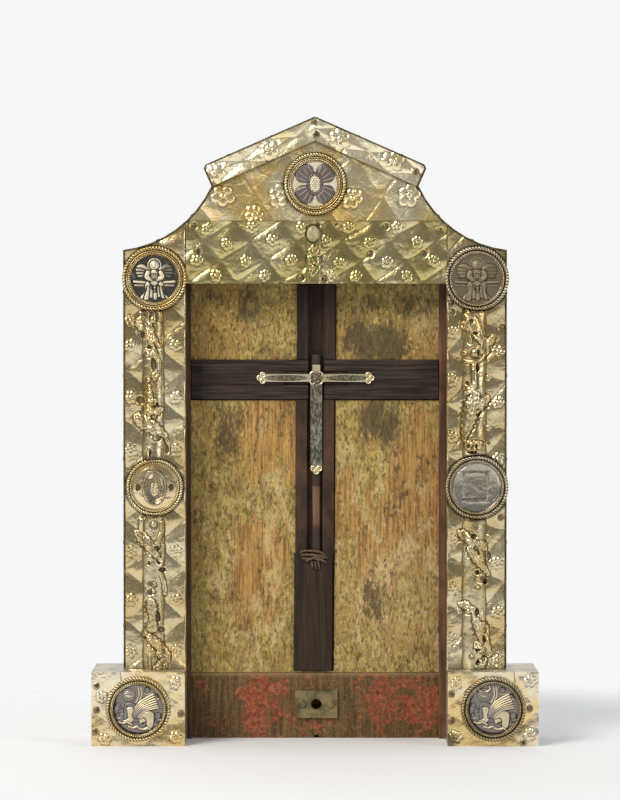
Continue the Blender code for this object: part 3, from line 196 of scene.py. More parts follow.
OAK = (0.085, 0.045, 0.02), (0.25, 0.15, 0.075)
dress(plain_wood("bare_oak", *OAK), "left_upright_core", "right_upright_core", "left_foot_core",
      "right_foot_core")
dress(plain_wood("head_oak", *OAK, "X"), "head_board")


# ---- Painted panel ----
# The oak board behind the cross. Its ochre paint is worn through to warm orange-brown oak in the
# middle of each field, and it is darker beside the cross and at the upper right.

panel_paint, shader, place = surface("worn_ochre_paint")
fine, figure = grain(place)
streaks = place.stretched(1.0, 1.0, 0.07).clouds(430.0, 4.0, 0.65)
flakes = place.stretched(1.0, 1.0, 0.5).clouds(430.0, 5.0, 0.8)
blotches = place.stretched(1.0, 1.0, 0.42).clouds(58.0, 7.0, 0.68, 0.6)
oak = (0.6 * streaks + 0.4 * fine).rise(0.38, 0.6).blend((0.26, 0.125, 0.032), (0.53, 0.315, 0.096))
paint = (0.6 * flakes + 0.4 * place.clouds(110.0, 5.0, 0.7)).rise(0.4, 0.6)
paint = paint.blend((0.2, 0.13, 0.038), (0.49, 0.36, 0.11))
paint = (0.85 * place.clouds(31.0, 4.0).rise(0.47, 0.6)).blend(paint, (0.36, 0.22, 0.06))
worn = place.ovals((-0.03, 0.215, 0.032, 0.045, 1.0), (-0.04, 0.12, 0.03, 0.05, 1.0),
                   (0.076, 0.175, 0.022, 0.085, 1.0), (0.04, 0.15, 0.04, 0.07, 0.7))
bare = (0.8 * blotches + 0.25 * streaks + 0.2 * worn).rise(0.59, 0.625)
colour = bare.blend(paint, oak)
chalk = place.stretched(1.0, 1.0, 0.5).clouds(70.0, 8.0, 0.78, 0.4).rise(0.51, 0.58)
light = place.ovals((0.06, 0.1, 0.06, 0.055, 1.0), (0.082, 0.32, 0.02, 0.05, 0.8))
chalk = chalk * place.part("Z").rise(0.27, 0.14).larger(light)
colour = (0.75 * chalk + 0.25 * light).blend(colour, (0.6, 0.44, 0.2))
sparks = place.stretched(1.0, 1.0, 0.7).clouds(520.0, 4.0, 0.75).rise(0.54, 0.62)
colour = (0.75 * sparks * (1.0 - bare) * blotches.rise(0.58, 0.44)).blend(colour, (0.66, 0.5, 0.14))
# Darker ovals under the lintel, under both arms of the cross and on the right.
dark_patches = place.ovals((0.046, 0.284, 0.034, 0.019, 1.0), (0.045, 0.226, 0.019, 0.024, 0.9),
                    (-0.062, 0.22, 0.016, 0.032, 0.7), (0.06, 0.31, 0.05, 0.014, 0.5),
                    (-0.05, 0.308, 0.05, 0.016, 0.5), (0.043, 0.098, 0.016, 0.024, 0.5))
stain = (0.5 * blotches + 0.5 * flakes + 0.13 * dark_patches).rise(0.53, 0.6)
colour = (0.8 * stain).blend(colour, (0.07, 0.052, 0.03))
pores = place.stretched(1.0, 1.0, 0.35).clouds(800.0, 3.0, 0.65).rise(0.55, 0.63)
colour = (0.6 * pores * (1.0 - 0.65 * bare)).blend(colour, (0.075, 0.048, 0.022))
# Darker beside the cross, down the shaft and along the crossbar.
beside_cross = place.ovals((0.0009, 0.16, 0.0195, 0.26, 1.0), (0.0009, 0.2562, 0.2, 0.0195, 1.0))
dark_near_cross = (0.4 * beside_cross + 0.5 * flakes + 0.2 * streaks).rise(0.5, 0.68)
colour = (0.7 * dark_near_cross).blend(colour, (0.055, 0.042, 0.025))
behind = place.part("Y").rise(0.0184, 0.0192)
colour = behind.blend(colour, board_tone(fine, figure, *OAK))
relief = (1.0 - bare) * 0.4 + flakes * 0.5 + streaks * 0.35 + pores * -0.3
give(shader, colour, 0.62 + 0.25 * flakes, relief, 0.0008)
dress(panel_paint, "painted_panel")


# ---- Rail and fillets ----
# The rail between the feet is oak under a worn red paint that has gone brown and scuffed. Two thin
# strips of red-brown oak cover the panel's edges in the corners of the recess. The left one is given
# darker tones, as painted shade from the upright beside it.

rail_paint, shader, place = surface("worn_red_paint")
fine, figure = grain(place)
streaks = place.stretched(1.0, 1.0, 0.07).clouds(430.0, 4.0, 0.65)
mottle = place.clouds(330.0, 6.0, 0.78, 0.3)
slow = place.clouds(75.0, 7.0, 0.76, 0.3)
oak = (0.55 * streaks + 0.45 * mottle).rise(0.38, 0.62).blend((0.07, 0.039, 0.014), (0.185, 0.107, 0.041))
kept = place.ovals((0.062, 0.026, 0.044, 0.032, 1.0), (-0.036, 0.0245, 0.026, 0.03, 0.9))
red = mottle.rise(0.4, 0.6).blend((0.2, 0.035, 0.018), (0.42, 0.1, 0.04))
colour = (0.9 * (slow + 0.13 * kept).rise(0.54, 0.6) * streaks.rise(0.72, 0.48)).blend(oak, red)
rubbed = (0.5 * mottle + 0.5 * slow).rise(0.53, 0.6)
colour = (0.55 * rubbed).blend(colour, (0.29, 0.18, 0.08))
specks = place.clouds(700.0, 4.0, 0.7).rise(0.6, 0.68)
colour = (0.55 * specks).blend(colour, (0.48, 0.36, 0.22))
edge = place.part("Z").rise(0.043, 0.0465)
colour = (0.5 * edge).blend(colour, (0.34, 0.24, 0.1))
behind = place.part("Y").rise(0.0184, 0.0192)
colour = behind.blend(colour, oak)
give(shader, colour, 0.62 + 0.25 * mottle, mottle * 0.6 + streaks * 0.4 + fine * 0.3, 0.0007)
dress(rail_paint, "bottom_rail")
dress(plain_wood("red_brown_fillet", (0.075, 0.034, 0.016), (0.22, 0.11, 0.055)), "right_recess_fillet")
# The left fillet's darker tones are painted shade.
dress(plain_wood("fillet_in_painted_shade", (0.05, 0.025, 0.012), (0.17, 0.09, 0.04)), "left_recess_fillet")


# ---- Wooden cross ----
# Dark, purplish hardwood let into the panel. Its crossbar and shaft are halved together, so fine
# joints show, and a channel runs down the shaft from the top with a shallow recess across it.

cross_wood, shader, place = surface("dark_cross_wood")
fine, figure = grain(place)
level = place.stretched(0.04, 1.0, 1.0).clouds(620.0, 4.0, 0.65)
bar = place.part("Z").rise(0.2420, 0.2424) * place.part("Z").rise(0.2712, 0.2708)
upright = (0.5 * fine + 0.5 * figure).rise(0.38, 0.64)
colour = upright.blend((0.014, 0.008, 0.005), (0.052, 0.03, 0.017))
across = level.rise(0.4, 0.66).blend((0.015, 0.01, 0.008), (0.062, 0.042, 0.029))
colour = bar.blend(colour, across)
warm = place.patch(0.0, 0.19, 0.05, 0.065) * place.clouds(60.0, 4.0).rise(0.3, 0.7)
colour = ((1.0 - bar) * 0.85 * warm).blend(colour, (0.1, 0.048, 0.024))
chips = place.clouds(330.0, 5.0, 0.72).rise(0.63, 0.74)
colour = (0.4 * chips).blend(colour, (0.15, 0.105, 0.065))
give(shader, colour, 0.5 + 0.25 * fine, fine * 0.5 + figure * 0.5 + level * 0.5, 0.0006)

low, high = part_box("wooden_cross")
front = low[1]
middle = 0.0009
bar_low, bar_high = 0.2424, 0.2707
CHANNEL = 0.0112
FLOOR = 0.005
JOINT = 0.00035
CHANNEL_FOOT = 0.1322
SEAT_LOW, SEAT_HIGH = 0.2526, 0.2629
SEAT_HALF = 0.023


def beam(shape, left, right, near, far, bottom, top, edge=0.0004):
    """A squared length of wood with its edges rubbed round."""
    centre = Vector(((left + right) / 2, (near + far) / 2, (bottom + top) / 2))
    scale = Matrix.Diagonal((right - left, far - near, top - bottom, 1.0))
    made = bmesh.ops.create_cube(shape, size=1.0, matrix=Matrix.Translation(centre) @ scale)
    sides = {side for vert in made["verts"] for side in vert.link_edges}
    bmesh.ops.bevel(shape, geom=list(sides), offset=edge, offset_type="OFFSET", affect="EDGES", segments=2,
                    profile=0.5, material=-1)


def piece(name, shape, material, slot, *stands_for, smooth=True):
    """The finished object of a bmesh, which rides on the body and stands for CAD nodes."""
    mesh = bpy.data.meshes.new(name)
    for face in shape.faces:
        face.smooth = smooth
    shape.to_mesh(mesh)
    shape.free()
    mesh.materials.append(material)
    made = bpy.data.objects.new(name, mesh)
    bpy.context.scene.collection.objects.link(made)
    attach(made, "root")
    if stands_for:
        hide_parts(*stands_for)
    return made


wood = bmesh.new()
half = 0.01375
wall = CHANNEL / 2
recess = 0.0015
beam(wood, middle - half, middle - wall, front, front + 0.0076, bar_high + JOINT, high[2])
beam(wood, middle + wall, middle + half, front, front + 0.0076, bar_high + JOINT, high[2])
beam(wood, middle - half + 0.0005, middle + half - 0.0005, front + FLOOR, high[1], CHANNEL_FOOT, high[2])
for side in (-1, 1):
    near_middle = middle + side * wall
    end = high[0] if side > 0 else low[0]
    beam(wood, min(near_middle, end), max(near_middle, end), front, high[1], bar_low, SEAT_LOW)
    beam(wood, min(near_middle, end), max(near_middle, end), front, high[1], SEAT_HIGH, bar_high)
    step = middle + side * SEAT_HALF
    beam(wood, min(step, end), max(step, end), front, high[1], SEAT_LOW + 0.0001, SEAT_HIGH - 0.0001)
    beam(wood, min(near_middle, step), max(near_middle, step), front + recess, high[1],
         SEAT_LOW - 0.0001, SEAT_HIGH + 0.0001)
lean = 0.0016
for side in (-1, 1):
    beam(wood, *sorted((middle - lean / 2 + side * wall, middle - lean / 2 + side * half)), front,
         high[1] - 0.0001, CHANNEL_FOOT, bar_low - JOINT)
beam(wood, middle - lean - half, middle - lean + half, front, high[1], low[2], 0.1324)
for vert in wood.verts:
    if vert.co.z < bar_low - JOINT / 2:
        vert.co.x -= lean * (bar_low - vert.co.z) / (bar_low - low[2]) * 0.5
bmesh.ops.recalc_face_normals(wood, faces=wood.faces)
piece("cross_wood", wood, cross_wood, "dark_wood", "wooden_cross", smooth=False)


# ---- Relic splinter ----
# A rough split stick lying in the channel, black at both ends where it was handled, with a paler
# fibrous middle. It is held by the tie below and by the silver cross above.

relic_wood, shader, place = surface("split_relic_wood")
fine, figure = grain(place)
colour = (0.6 * fine + 0.4 * figure).rise(0.35, 0.62).blend((0.05, 0.026, 0.013), (0.2, 0.115, 0.06))
pale = place.part("Z").rise(0.1555, 0.1645) * place.part("Z").rise(0.1795, 0.177)
pale = pale * (0.35 + 0.65 * place.stretched(1.0, 1.0, 0.05).clouds(520.0, 3.0).rise(0.4, 0.6))
colour = (0.55 * pale).blend(colour, (0.2, 0.125, 0.075))
dark = place.part("Z").rise(0.1795, 0.181).larger(place.part("Z").rise(0.156, 0.149))
colour = (0.8 * dark).blend(colour, (0.026, 0.02, 0.016))
give(shader, colour, 0.6 + 0.2 * fine, fine + 0.5 * figure, 0.0006)

low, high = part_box("relic_splinter")
stick = bmesh.new()
thickness = high[1] - low[1]
centre = Vector(((low[0] + high[0]) / 2, (low[1] + high[1]) / 2, (low[2] + high[2]) / 2))
length = high[2] - low[2]
flat = Matrix.Diagonal((1.0, thickness / 0.0068, 1.0, 1.0))
bmesh.ops.create_cone(stick, cap_ends=True, segments=10, radius1=0.0034, radius2=0.0034, depth=length,
                      matrix=Matrix.Translation(centre) @ flat)
sides = [line for line in stick.edges if abs(line.verts[0].co.z - line.verts[1].co.z) > length / 2]
bmesh.ops.subdivide_edges(stick, edges=sides, cuts=70)
for vert in stick.verts:
    rough = noise.noise(Vector((vert.co.x * 700, vert.co.y * 700, vert.co.z * 90)))
    slim = 1 - 0.16 * math.exp(-(((vert.co.z - 0.166) / 0.02) ** 2))
    vert.co.x = centre.x + (vert.co.x - centre.x) * (slim + 0.12 * rough)
    vert.co.y = centre.y + (vert.co.y - centre.y) * (0.9 + 0.1 * rough)
piece("split_relic", stick, relic_wood, "relic_wood", "relic_splinter")


# ---- Tie ----
# A few turns of dark gut or cord at the foot of the channel, which hold the end of the relic. Three
# short ends hang from it, and a small pin head sits in its middle.

tie_cord, shader, place = surface("dry_tie_cord")
strands = place.stretched(1.0, 1.0, 2.2).clouds(1300.0, 3.0)
colour = strands.rise(0.4, 0.62).blend((0.05, 0.03, 0.018), (0.24, 0.155, 0.095))
give(shader, colour, 0.5 + 0.25 * strands, strands, 0.0003)

low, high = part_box("channel_tie")
tie_front = low[1]


def cord_along(shape, points, radius, sides=8):
    """A round cord through points, closed at both ends, from a circle carried along them."""
    rings = []
    for index, point in enumerate(points):
        before = Vector(points[max(index - 1, 0)])
        after = Vector(points[min(index + 1, len(points) - 1)])
        turn = (after - before).to_track_quat("Z", "Y").to_matrix().to_4x4()
        made = bmesh.ops.create_circle(shape, segments=sides, radius=radius,
                                       matrix=Matrix.Translation(Vector(point)) @ turn)
        rings.append(list({line for vert in made["verts"] for line in vert.link_edges}))
    for first, second in zip(rings, rings[1:]):
        bmesh.ops.bridge_loops(shape, edges=first + second)
    bmesh.ops.holes_fill(shape, edges=rings[0] + rings[-1], sides=0)


cord = bmesh.new()
loops = (((-9.4, 134.0), (-3.6, 134.4), (3.2, 133.6), (7.2, 131.2)),
         ((-9.6, 131.3), (-4.0, 131.6), (2.6, 131.0), (8.6, 129.6)),
         ((-9.8, 132.6), (-10.3, 133.4), (-9.4, 134.1)),
         ((-9.2, 129.0), (-3.2, 128.2), (1.2, 130.2), (5.2, 127.4), (8.8, 125.6)),
         ((-6.6, 126.8), (-1.6, 129.4), (2.8, 127.6), (6.8, 129.8)))
for loop in loops:
    points = [(x / 1000, tie_front + 0.0012 + 0.0006 * math.sin(index * 1.9), z / 1000)
              for index, (x, z) in enumerate(loop)]
    cord_along(cord, points, 0.00078)
for x, tail in ((-2.4, 4.6), (0.0, 5.4), (2.2, 4.9)):
    points = [((x + 0.25 * step) / 1000, tie_front + 0.0015, (126.6 - tail * step / 3) / 1000)
              for step in range(4)]
    cord_along(cord, points, 0.0007)
bmesh.ops.create_uvsphere(cord, u_segments=12, v_segments=8, radius=0.0011,
                          matrix=Matrix.Translation((-0.0006, tie_front + 0.0012, 0.1302)))
bmesh.ops.recalc_face_normals(cord, faces=cord.faces)
piece("wound_tie", cord, tie_cord, "tie", "channel_tie")


# ---- Silver cross ----
# A thin parcel-gilt silver cross pinned over the channel. Bright rims edge its engraved arms, its
# ends are trefoils, its middle is a lobed boss, and pearled wire runs down its tarnished stem.

silver_gilt, shader, place = surface("parcel_gilt_silver", 1.0)
specks = place.clouds(900.0, 3.0)
colour = place.clouds(60.0, 4.0).rise(0.3, 0.75).blend((0.84, 0.78, 0.6), (0.72, 0.6, 0.34))
engraved = place.ovals((-0.0205, 0.2577, 0.019, 0.0028, 1.0), (0.0225, 0.2577, 0.019, 0.0028, 1.0),
                       (0.0009, 0.2577, 0.006, 0.006, 1.0)).rise(0.2, 0.5)
colour = (engraved * (0.55 + 0.4 * specks.rise(0.62, 0.45))).blend(colour, (0.13, 0.105, 0.07))
give(shader, colour, 0.26 + 0.2 * specks, specks, 0.00015)

stem_silver, shader, place = surface("tarnished_stem_silver", 1.0)
specks = place.stretched(1.0, 1.0, 0.5).clouds(700.0, 4.0, 0.65)
colour = specks.rise(0.38, 0.68).blend((0.1, 0.092, 0.066), (0.42, 0.39, 0.3))
give(shader, colour, 0.38 + 0.25 * specks, specks, 0.0003)

low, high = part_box("silver_cross")
axis_x = (low[0] + high[0]) / 2
axis_z = 0.2577
silver_back = high[1]
plate_front = silver_back - 0.0009
silver = bmesh.new()
for side in (-1, 1):
    reach = 0.0378 if side < 0 else 0.0366
    arm = sorted((axis_x + side * 0.004, axis_x + side * reach))
    beam(silver, arm[0], arm[1], plate_front, silver_back, axis_z - 0.0024, axis_z + 0.0024, 0.0001)
    for rim in (-1, 1):
        beam(silver, arm[0], arm[1], silver_back - 0.0016, silver_back, axis_z + rim * 0.0023 - 0.00045,
             axis_z + rim * 0.0023 + 0.00045, 0.0002)
    for bead in range(16):
        x = axis_x + side * (0.0075 + bead * 0.00165)
        lift = 0.0006 * (-1) ** bead
        bmesh.ops.create_icosphere(silver, subdivisions=1, radius=0.00062,
                                   matrix=Matrix.Translation((x, silver_back - 0.001, axis_z + lift)))
beam(silver, axis_x - 0.0027, axis_x + 0.0027, silver_back - 0.0015, silver_back, axis_z + 0.004,
     axis_z + 0.0094, 0.0003)


def wire_ring(x, y, z, radius, wire):
    """A small wire ring with a domed eye, as its own bmesh, ready to be joined."""
    shape = bmesh.new()
    upright = Matrix.Rotation(math.pi / 2, 4, "X")
    circle = bmesh.ops.create_circle(shape, segments=8, radius=wire,
                                     matrix=Matrix.Translation((radius, 0, 0)) @ upright)
    around = circle["verts"] + list({line for vert in circle["verts"] for line in vert.link_edges})
    bmesh.ops.spin(shape, geom=around, cent=(0, 0, 0), axis=(0, 0, 1), angle=2 * math.pi, steps=18,
                   use_merge=True)
    bmesh.ops.create_uvsphere(shape, u_segments=10, v_segments=6, radius=radius * 0.55)
    bmesh.ops.recalc_face_normals(shape, faces=shape.faces)
    bmesh.ops.transform(shape, matrix=Matrix.Translation((x, y, z)) @ upright, verts=shape.verts)
    return shape


def join(shape, other):
    """Adds a finished bmesh to another one."""
    carried = bpy.data.meshes.new("carried")
    other.to_mesh(carried)
    other.free()
    shape.from_mesh(carried)
    bpy.data.meshes.remove(carried)


for x, z, facing in ((-0.0383, 0.0, 180), (0.0372, 0.0, 0), (0.0, -0.0646, -90)):
    for turn in (-90, 0, 90):
        angle = math.radians(facing + turn)
        join(silver, wire_ring(axis_x + x + 0.0021 * math.cos(angle), plate_front,
                               axis_z + z + 0.0021 * math.sin(angle), 0.00165, 0.0006))
for turn in (45, 135, 225, 315):
    angle = math.radians(turn)
    join(silver, wire_ring(axis_x + 0.0036 * math.cos(angle), plate_front,
                           axis_z + 0.0036 * math.sin(angle), 0.0017, 0.0006))
bmesh.ops.create_cone(silver, cap_ends=True, segments=4, radius1=0.0056, radius2=0.0043, depth=0.0016,
                      matrix=Matrix.Translation((axis_x, plate_front, axis_z))
                      @ Matrix.Rotation(math.pi / 2, 4, "X"))
for z in (-0.0017, 0.0019):
    join(silver, wire_ring(axis_x, silver_back - 0.0017, axis_z + z, 0.0014, 0.0003))
bmesh.ops.recalc_face_normals(silver, faces=silver.faces)
piece("rimmed_silver_cross", silver, silver_gilt, "silver_gilt", "silver_cross", smooth=False)

stem = bmesh.new()
beam(stem, axis_x - 0.0042, axis_x + 0.0042, silver_back - 0.0008, silver_back, axis_z - 0.0655,
     axis_z - 0.003, 0.00035)
for side in (-1, 1):
    beam(stem, axis_x + side * 0.0037 - 0.0004, axis_x + side * 0.0037 + 0.0004, silver_back - 0.0014,
         silver_back, axis_z - 0.061, axis_z - 0.0055, 0.0002)
for bead in range(44):
    z = axis_z - 0.0075 - bead * 0.00122
    bmesh.ops.create_icosphere(stem, subdivisions=1, radius=0.0005,
                               matrix=Matrix.Translation((axis_x, plate_front, z)))
piece("silver_stem_plate", stem, stem_silver, "silver_gilt", smooth=False)


# ---- Lintel sheets ----
# Two thin sheets of gilt copper over the opening, embossed with diamond points and stamped with a
# small flower on each. Copper nails hold them, and their gilding is dark and greenish in the hollows,
# partly tarnish and partly painted shade.

class Embossing:
    """Heights over the front of a sheet, raised and chased in turn."""

    def __init__(self, x, z):
        self.x = x
        self.z = z
        self.height = np.zeros_like(x)
        self.nailed = np.zeros_like(x)
        self.marked = np.zeros_like(x)

    def away(self, x, z, wide=1.0, tall=1.0):
        """How far every point is from a place, in shares of a width and a height."""
        return np.hypot((self.x - x) / wide, (self.z - z) / tall)

    def off_line(self, start, end):
        """How far every point is from a straight line between two places."""
        run = end[0] - start[0], end[1] - start[1]
        along = ((self.x - start[0]) * run[0] + (self.z - start[1]) * run[1]) / (run[0] ** 2 + run[1] ** 2)
        along = np.clip(along, 0, 1)
        return self.away(start[0] + run[0] * along, start[1] + run[1] * along)

    def around(self, x, z, reach):
        """The points near a place, with their offsets and their distance from it."""
        near = np.flatnonzero((np.abs(self.x - x) < reach) & (np.abs(self.z - z) < reach))
        across = self.x[near] - x
        up = self.z[near] - z
        return near, across, up, np.hypot(across, up)

    def lozenges(self, corner, first, second, depth, seed):
        """Raises each cell of a skewed lattice to a pillow, with its four sides steep at the creases."""
        sway = 0.0005 * np.sin(self.z * 160 + seed) + 0.0003 * np.sin(self.x * 310 + seed)
        rock = 0.0005 * np.sin(self.x * 150 + 2 * seed)
        turn = np.linalg.inv(np.array([[first[0], second[0]], [first[1], second[1]]]))
        across = self.x + sway - corner[0]
        up = self.z + rock - corner[1]
        u = turn[0, 0] * across + turn[0, 1] * up
        v = turn[1, 0] * across + turn[1, 1] * up
        lean_u = np.sin(np.floor(u) * 12.9 + np.floor(v) * 78.2 + seed)
        lean_v = np.sin(np.floor(u) * 39.3 + np.floor(v) * 11.1 + 2 * seed)
        u = 2 * (u - np.floor(u)) - 1
        v = 2 * (v - np.floor(v)) - 1
        side = (np.abs(u) ** 7 + np.abs(v) ** 7) ** (1 / 7)
        side = np.minimum(side, 1)
        self.height += 1.15 * depth * (1 - side ** 1.7)
        self.height += 0.35 * depth * (1 - side ** 4) * (lean_u * u + lean_v * v)

    def crumple(self, size, amount, seed):
        """Broad, soft unevenness of thin beaten sheet, in three sizes."""
        for step in range(3):
            u = self.x / size * 2 ** step + 31.7 * seed
            v = self.z / size * 2 ** step + 17.3 * seed
            mixed = np.zeros_like(u)
            for along, up in ((0, 0), (0, 1), (1, 0), (1, 1)):
                corner_u = np.floor(u) + along
                corner_v = np.floor(v) + up
                lot = np.modf(np.sin(corner_u * 127.1 + corner_v * 311.7) * 43758.5453)[0]
                share_u = 1 - np.abs(u - corner_u)
                share_v = 1 - np.abs(v - corner_v)
                mixed += lot * share_u ** 2 * (3 - 2 * share_u) * share_v ** 2 * (3 - 2 * share_v)
            self.height += amount * mixed / 2.2 ** step

    def rosette(self, x, z, radius, petals, turn, rise):
        """A flower struck with a punch: uneven hollowed petals round a small boss."""
        near, across, up, far = self.around(x, z, radius * 1.7)
        angle = np.arctan2(up, across) + turn
        lobe = np.abs(np.cos(angle * petals / 2))
        edge = radius * (0.62 + 0.38 * lobe ** 0.6) * (1 + 0.1 * np.sin(2 * angle + 3 * turn))
        share = far / edge
        petal = np.clip(1 - share ** 5, 0, None) * (0.3 + 0.7 * share) * (0.3 + 0.7 * lobe ** 0.7)
        eye = np.sqrt(np.clip(1 - (far / (radius * 0.22)) ** 2, 0, None))
        gap = np.exp(-((far - radius * 0.3) / (radius * 0.08)) ** 2)
        dent = np.exp(-((share - 1.12) / 0.14) ** 2)
        self.height[near] += rise * (petal - 0.3 * gap + 0.55 * eye - 0.2 * dent)
        # The grooves round the petals and round the eye are painted dark, as shade.
        self.marked[near] -= 0.6 * dent + 0.7 * gap

    def nail(self, x, z, radius, rise):
        """A round-headed nail, with the sheet drawn in a little round it."""
        near, _, _, far = self.around(x, z, radius * 2)
        head = np.sqrt(np.clip(1 - (far / radius) ** 2, 0, None))
        base = np.median(self.height[near]) if near.size else 0.0
        dented = self.height[near] - 0.3 * rise * np.exp(-((far - radius * 1.2) / (radius * 0.3)) ** 2)
        self.height[near] = np.where(head > 0, base + rise * head, dented)
        self.nailed[near] = np.maximum(self.nailed[near], far < radius)

    def nails(self, places, radius, rise):
        """Nails at places in millimetres."""
        for x, z in places:
            self.nail(x / 1000, z / 1000, radius, rise)

    def hole(self, x, z, radius):
        near, _, _, far = self.around(x, z, radius * 2)
        self.height[near] -= 0.0008 * (far < radius) - 0.0003 * np.exp(-((far / radius - 1.2) / 0.2) ** 2)

    def crease(self, start, end, width, depth):
        """A fold or a scratch from one place to another. A minus depth cuts in."""
        self.height += depth * np.exp(-(self.off_line(start, end) / width) ** 2)


def hollows(height, reach):
    """How far each point of a grid lies under the mean of those round it."""
    mean = height
    for axis in (0, 1):
        padded = np.pad(mean, [(reach, reach) if axis == side else (0, 0) for side in (0, 1)], "edge")
        total = np.cumsum(padded, axis=axis)
        total = np.insert(total, 0, 0.0, axis=axis)
        span = 2 * reach + 1
        count = mean.shape[axis]
        ends = np.take(total, range(span, span + count), axis=axis)
        mean = (ends - np.take(total, range(count), axis=axis)) / span
    return mean - height


def worked_grid(columns, rows, spread, front, back, work_on, kind=Embossing):
    """A thin plate over a spread-out grid, closed behind, with its front worked by a function."""
    metal = bmesh.new()
    bmesh.ops.create_grid(metal, x_segments=columns, y_segments=rows, size=0.5)
    shares = np.array([vert.co[:2] for vert in metal.verts]) + 0.5
    x, z = spread(shares[:, 0], shares[:, 1])
    worked = kind(x, z)
    work_on(worked)
    order = np.lexsort((np.round(shares[:, 0], 6), np.round(shares[:, 1], 6)))
    wide = np.unique(np.round(shares[:, 0], 6)).size
    grid = worked.height[order].reshape(-1, wide)
    depth = np.empty_like(x)
    depth[order] = (hollows(grid, 2) / 0.0003 + hollows(grid, 8) / 0.0013).ravel()
    layers = [metal.verts.layers.float.new(name) for name in ("hollow", "nail", "mark")]
    values = (np.clip(depth, -1, 2), worked.nailed, worked.marked)
    for vert, px, pz, rise, *marks in zip(metal.verts, x.tolist(), z.tolist(), worked.height.tolist(),
                                          *[value.tolist() for value in values]):
        vert.co = (px, front - rise, pz)
        for layer, mark in zip(layers, marks):
            vert[layer] = mark
    for line in metal.edges:
        line.smooth = not line.is_boundary
    made = bmesh.ops.extrude_edge_only(metal, edges=[line for line in metal.edges if line.is_boundary])
    for item in made["geom"]:
        if isinstance(item, bmesh.types.BMVert):
            item.co.y = back
    rim = [line for line in metal.edges if line.is_boundary]
    bmesh.ops.contextual_create(metal, geom=rim)
    for line in rim:
        line.smooth = False
    bmesh.ops.recalc_face_normals(metal, faces=metal.faces)
    return metal


def sheet(left, right, lower, upper, cell, front, back, work_on, kind=Embossing):
    """A thin sheet between a lower and an upper edge."""
    def spread(across, up):
        x = left + across * (right - left)
        low = np.interp(x, *zip(*lower))
        return x, low + up * (np.interp(x, *zip(*upper)) - low)

    places = np.linspace(left, right, 41)
    tallest = np.max(np.interp(places, *zip(*upper)) - np.interp(places, *zip(*lower)))
    columns, rows = round((right - left) / cell), round(tallest / cell)
    return worked_grid(columns, rows, spread, front, back, work_on, kind)


def gilding(name, pale, rich, dull, worn=0.5, rough=0.2, creased=1.0, metallic=1.0):
    """Fire-gilt copper: uneven gold, with tarnish and painted shade in its hollows, and dull copper nail
    heads.
    """
    made, shader, place = surface(name, metallic)
    hollow, nail, mark = (place.carried(value) for value in ("hollow", "nail", "mark"))
    broad = place.clouds(24.0, 5.0, 0.6, 0.4)
    small = place.clouds(170.0, 5.0, 0.68, 0.5)
    colour = broad.rise(0.4, 0.6).blend(pale, rich)
    colour = (worn * small.rise(0.5, 0.72)).blend(colour, dull)
    # The hollows darken, partly as tarnish and partly as painted shade.
    colour = (0.85 * hollow.rise(0.3, 1.2)).blend(colour, shade(dull, 0.28))
    # Marks below zero paint shade: round the flowers' petals, bezels, strap, stone and vine, and under the
    # bands.
    colour = (0.8 * mark.rise(-0.1, -1.1)).blend(colour, shade(dull, 0.16))
    colour = mark.rise(0.4, 0.9).blend(colour, (0.56, 0.51, 0.42))
    heads = small.rise(0.35, 0.65).blend((0.09, 0.06, 0.035), (0.28, 0.2, 0.12))
    colour = nail.blend(colour, heads)
    roughness = rough + 0.13 * small + 0.3 * hollow.rise(0.4, 1.4) + 0.2 * nail
    crumple = place.clouds(130.0, 2.0, 0.5, 0.8) + 0.3 * place.clouds(420.0, 3.0, 0.6)
    give(shader, colour, roughness, crumple, 0.0005 * creased)
    return made


green_gilt = gilding("greenish_gilding", (0.8, 0.69, 0.37), (0.66, 0.52, 0.2), (0.36, 0.29, 0.1), 0.5)
fine_cell = 0.00042
sheet_front = -0.00615
sheet_back = -0.00495
FLOWERS = ((-76.3, 363.2), (-62.2, 352.6), (-83.4, 341.3), (-70.0, 330.4), (-44.5, 364.2), (-48.8, 340.6),
           (-29.7, 355.5), (-35.3, 330.4), (-9.2, 364.2), (-16.6, 341.3), (8.0, 354.8), (24.0, 364.2),
           (57.9, 364.2), (38.9, 353.3), (72.1, 354.0), (17.7, 339.2), (50.9, 339.9), (84.1, 340.6),
           (29.0, 330.0), (65.0, 330.0), (11.3, 330.0))
LINTEL_NAILS = ((-85.5, 365.4), (-82.7, 347.7), (49.9, 365.0), (38.9, 345.6), (77.0, 345.6), (88.3, 361.8),
                (1.1, 366.3), (-9.7, 328.8), (7.1, 328.2))


def lintel_work(metal):
    metal.lozenges((-0.0784, 0.355), (0.0113, -0.01435), (0.0216, 0.01435), 0.0009, 1.3)
    metal.crumple(0.016, 0.00025, 1)
    for index, (x, z) in enumerate(FLOWERS):
        metal.rosette(x / 1000, z / 1000, 0.0042, 5 + index % 2, index * 0.7, 0.0006)
    metal.nails(LINTEL_NAILS, 0.0019, 0.0011)
    metal.hole(0.0151, 0.3663, 0.0012)


for side in ("left", "right"):
    low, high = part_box(f"{side}_lintel_sheet")
    top = [(-0.09115, 0.3669), (-0.0888, high[2]), (0.0888, high[2]), (0.09295, 0.3654)]
    bottom = [(low[0], low[2]), (high[0], low[2])]
    metal = sheet(low[0], high[0], bottom, top, fine_cell, sheet_front, sheet_back, lintel_work)
    piece(f"{side}_lintel_gilt", metal, green_gilt, "green_gilt", f"{side}_lintel_sheet")


# ---- Strap and its stone ----
# A narrow cast strap over the joint of the lintel sheets, worn almost smooth, with two small nail
# holes and a cloudy oval stone at its top. Painted shade runs down both edges of the strap and rings
# the stone.

low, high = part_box("centre_strap")
strap_x = (low[0] + high[0]) / 2


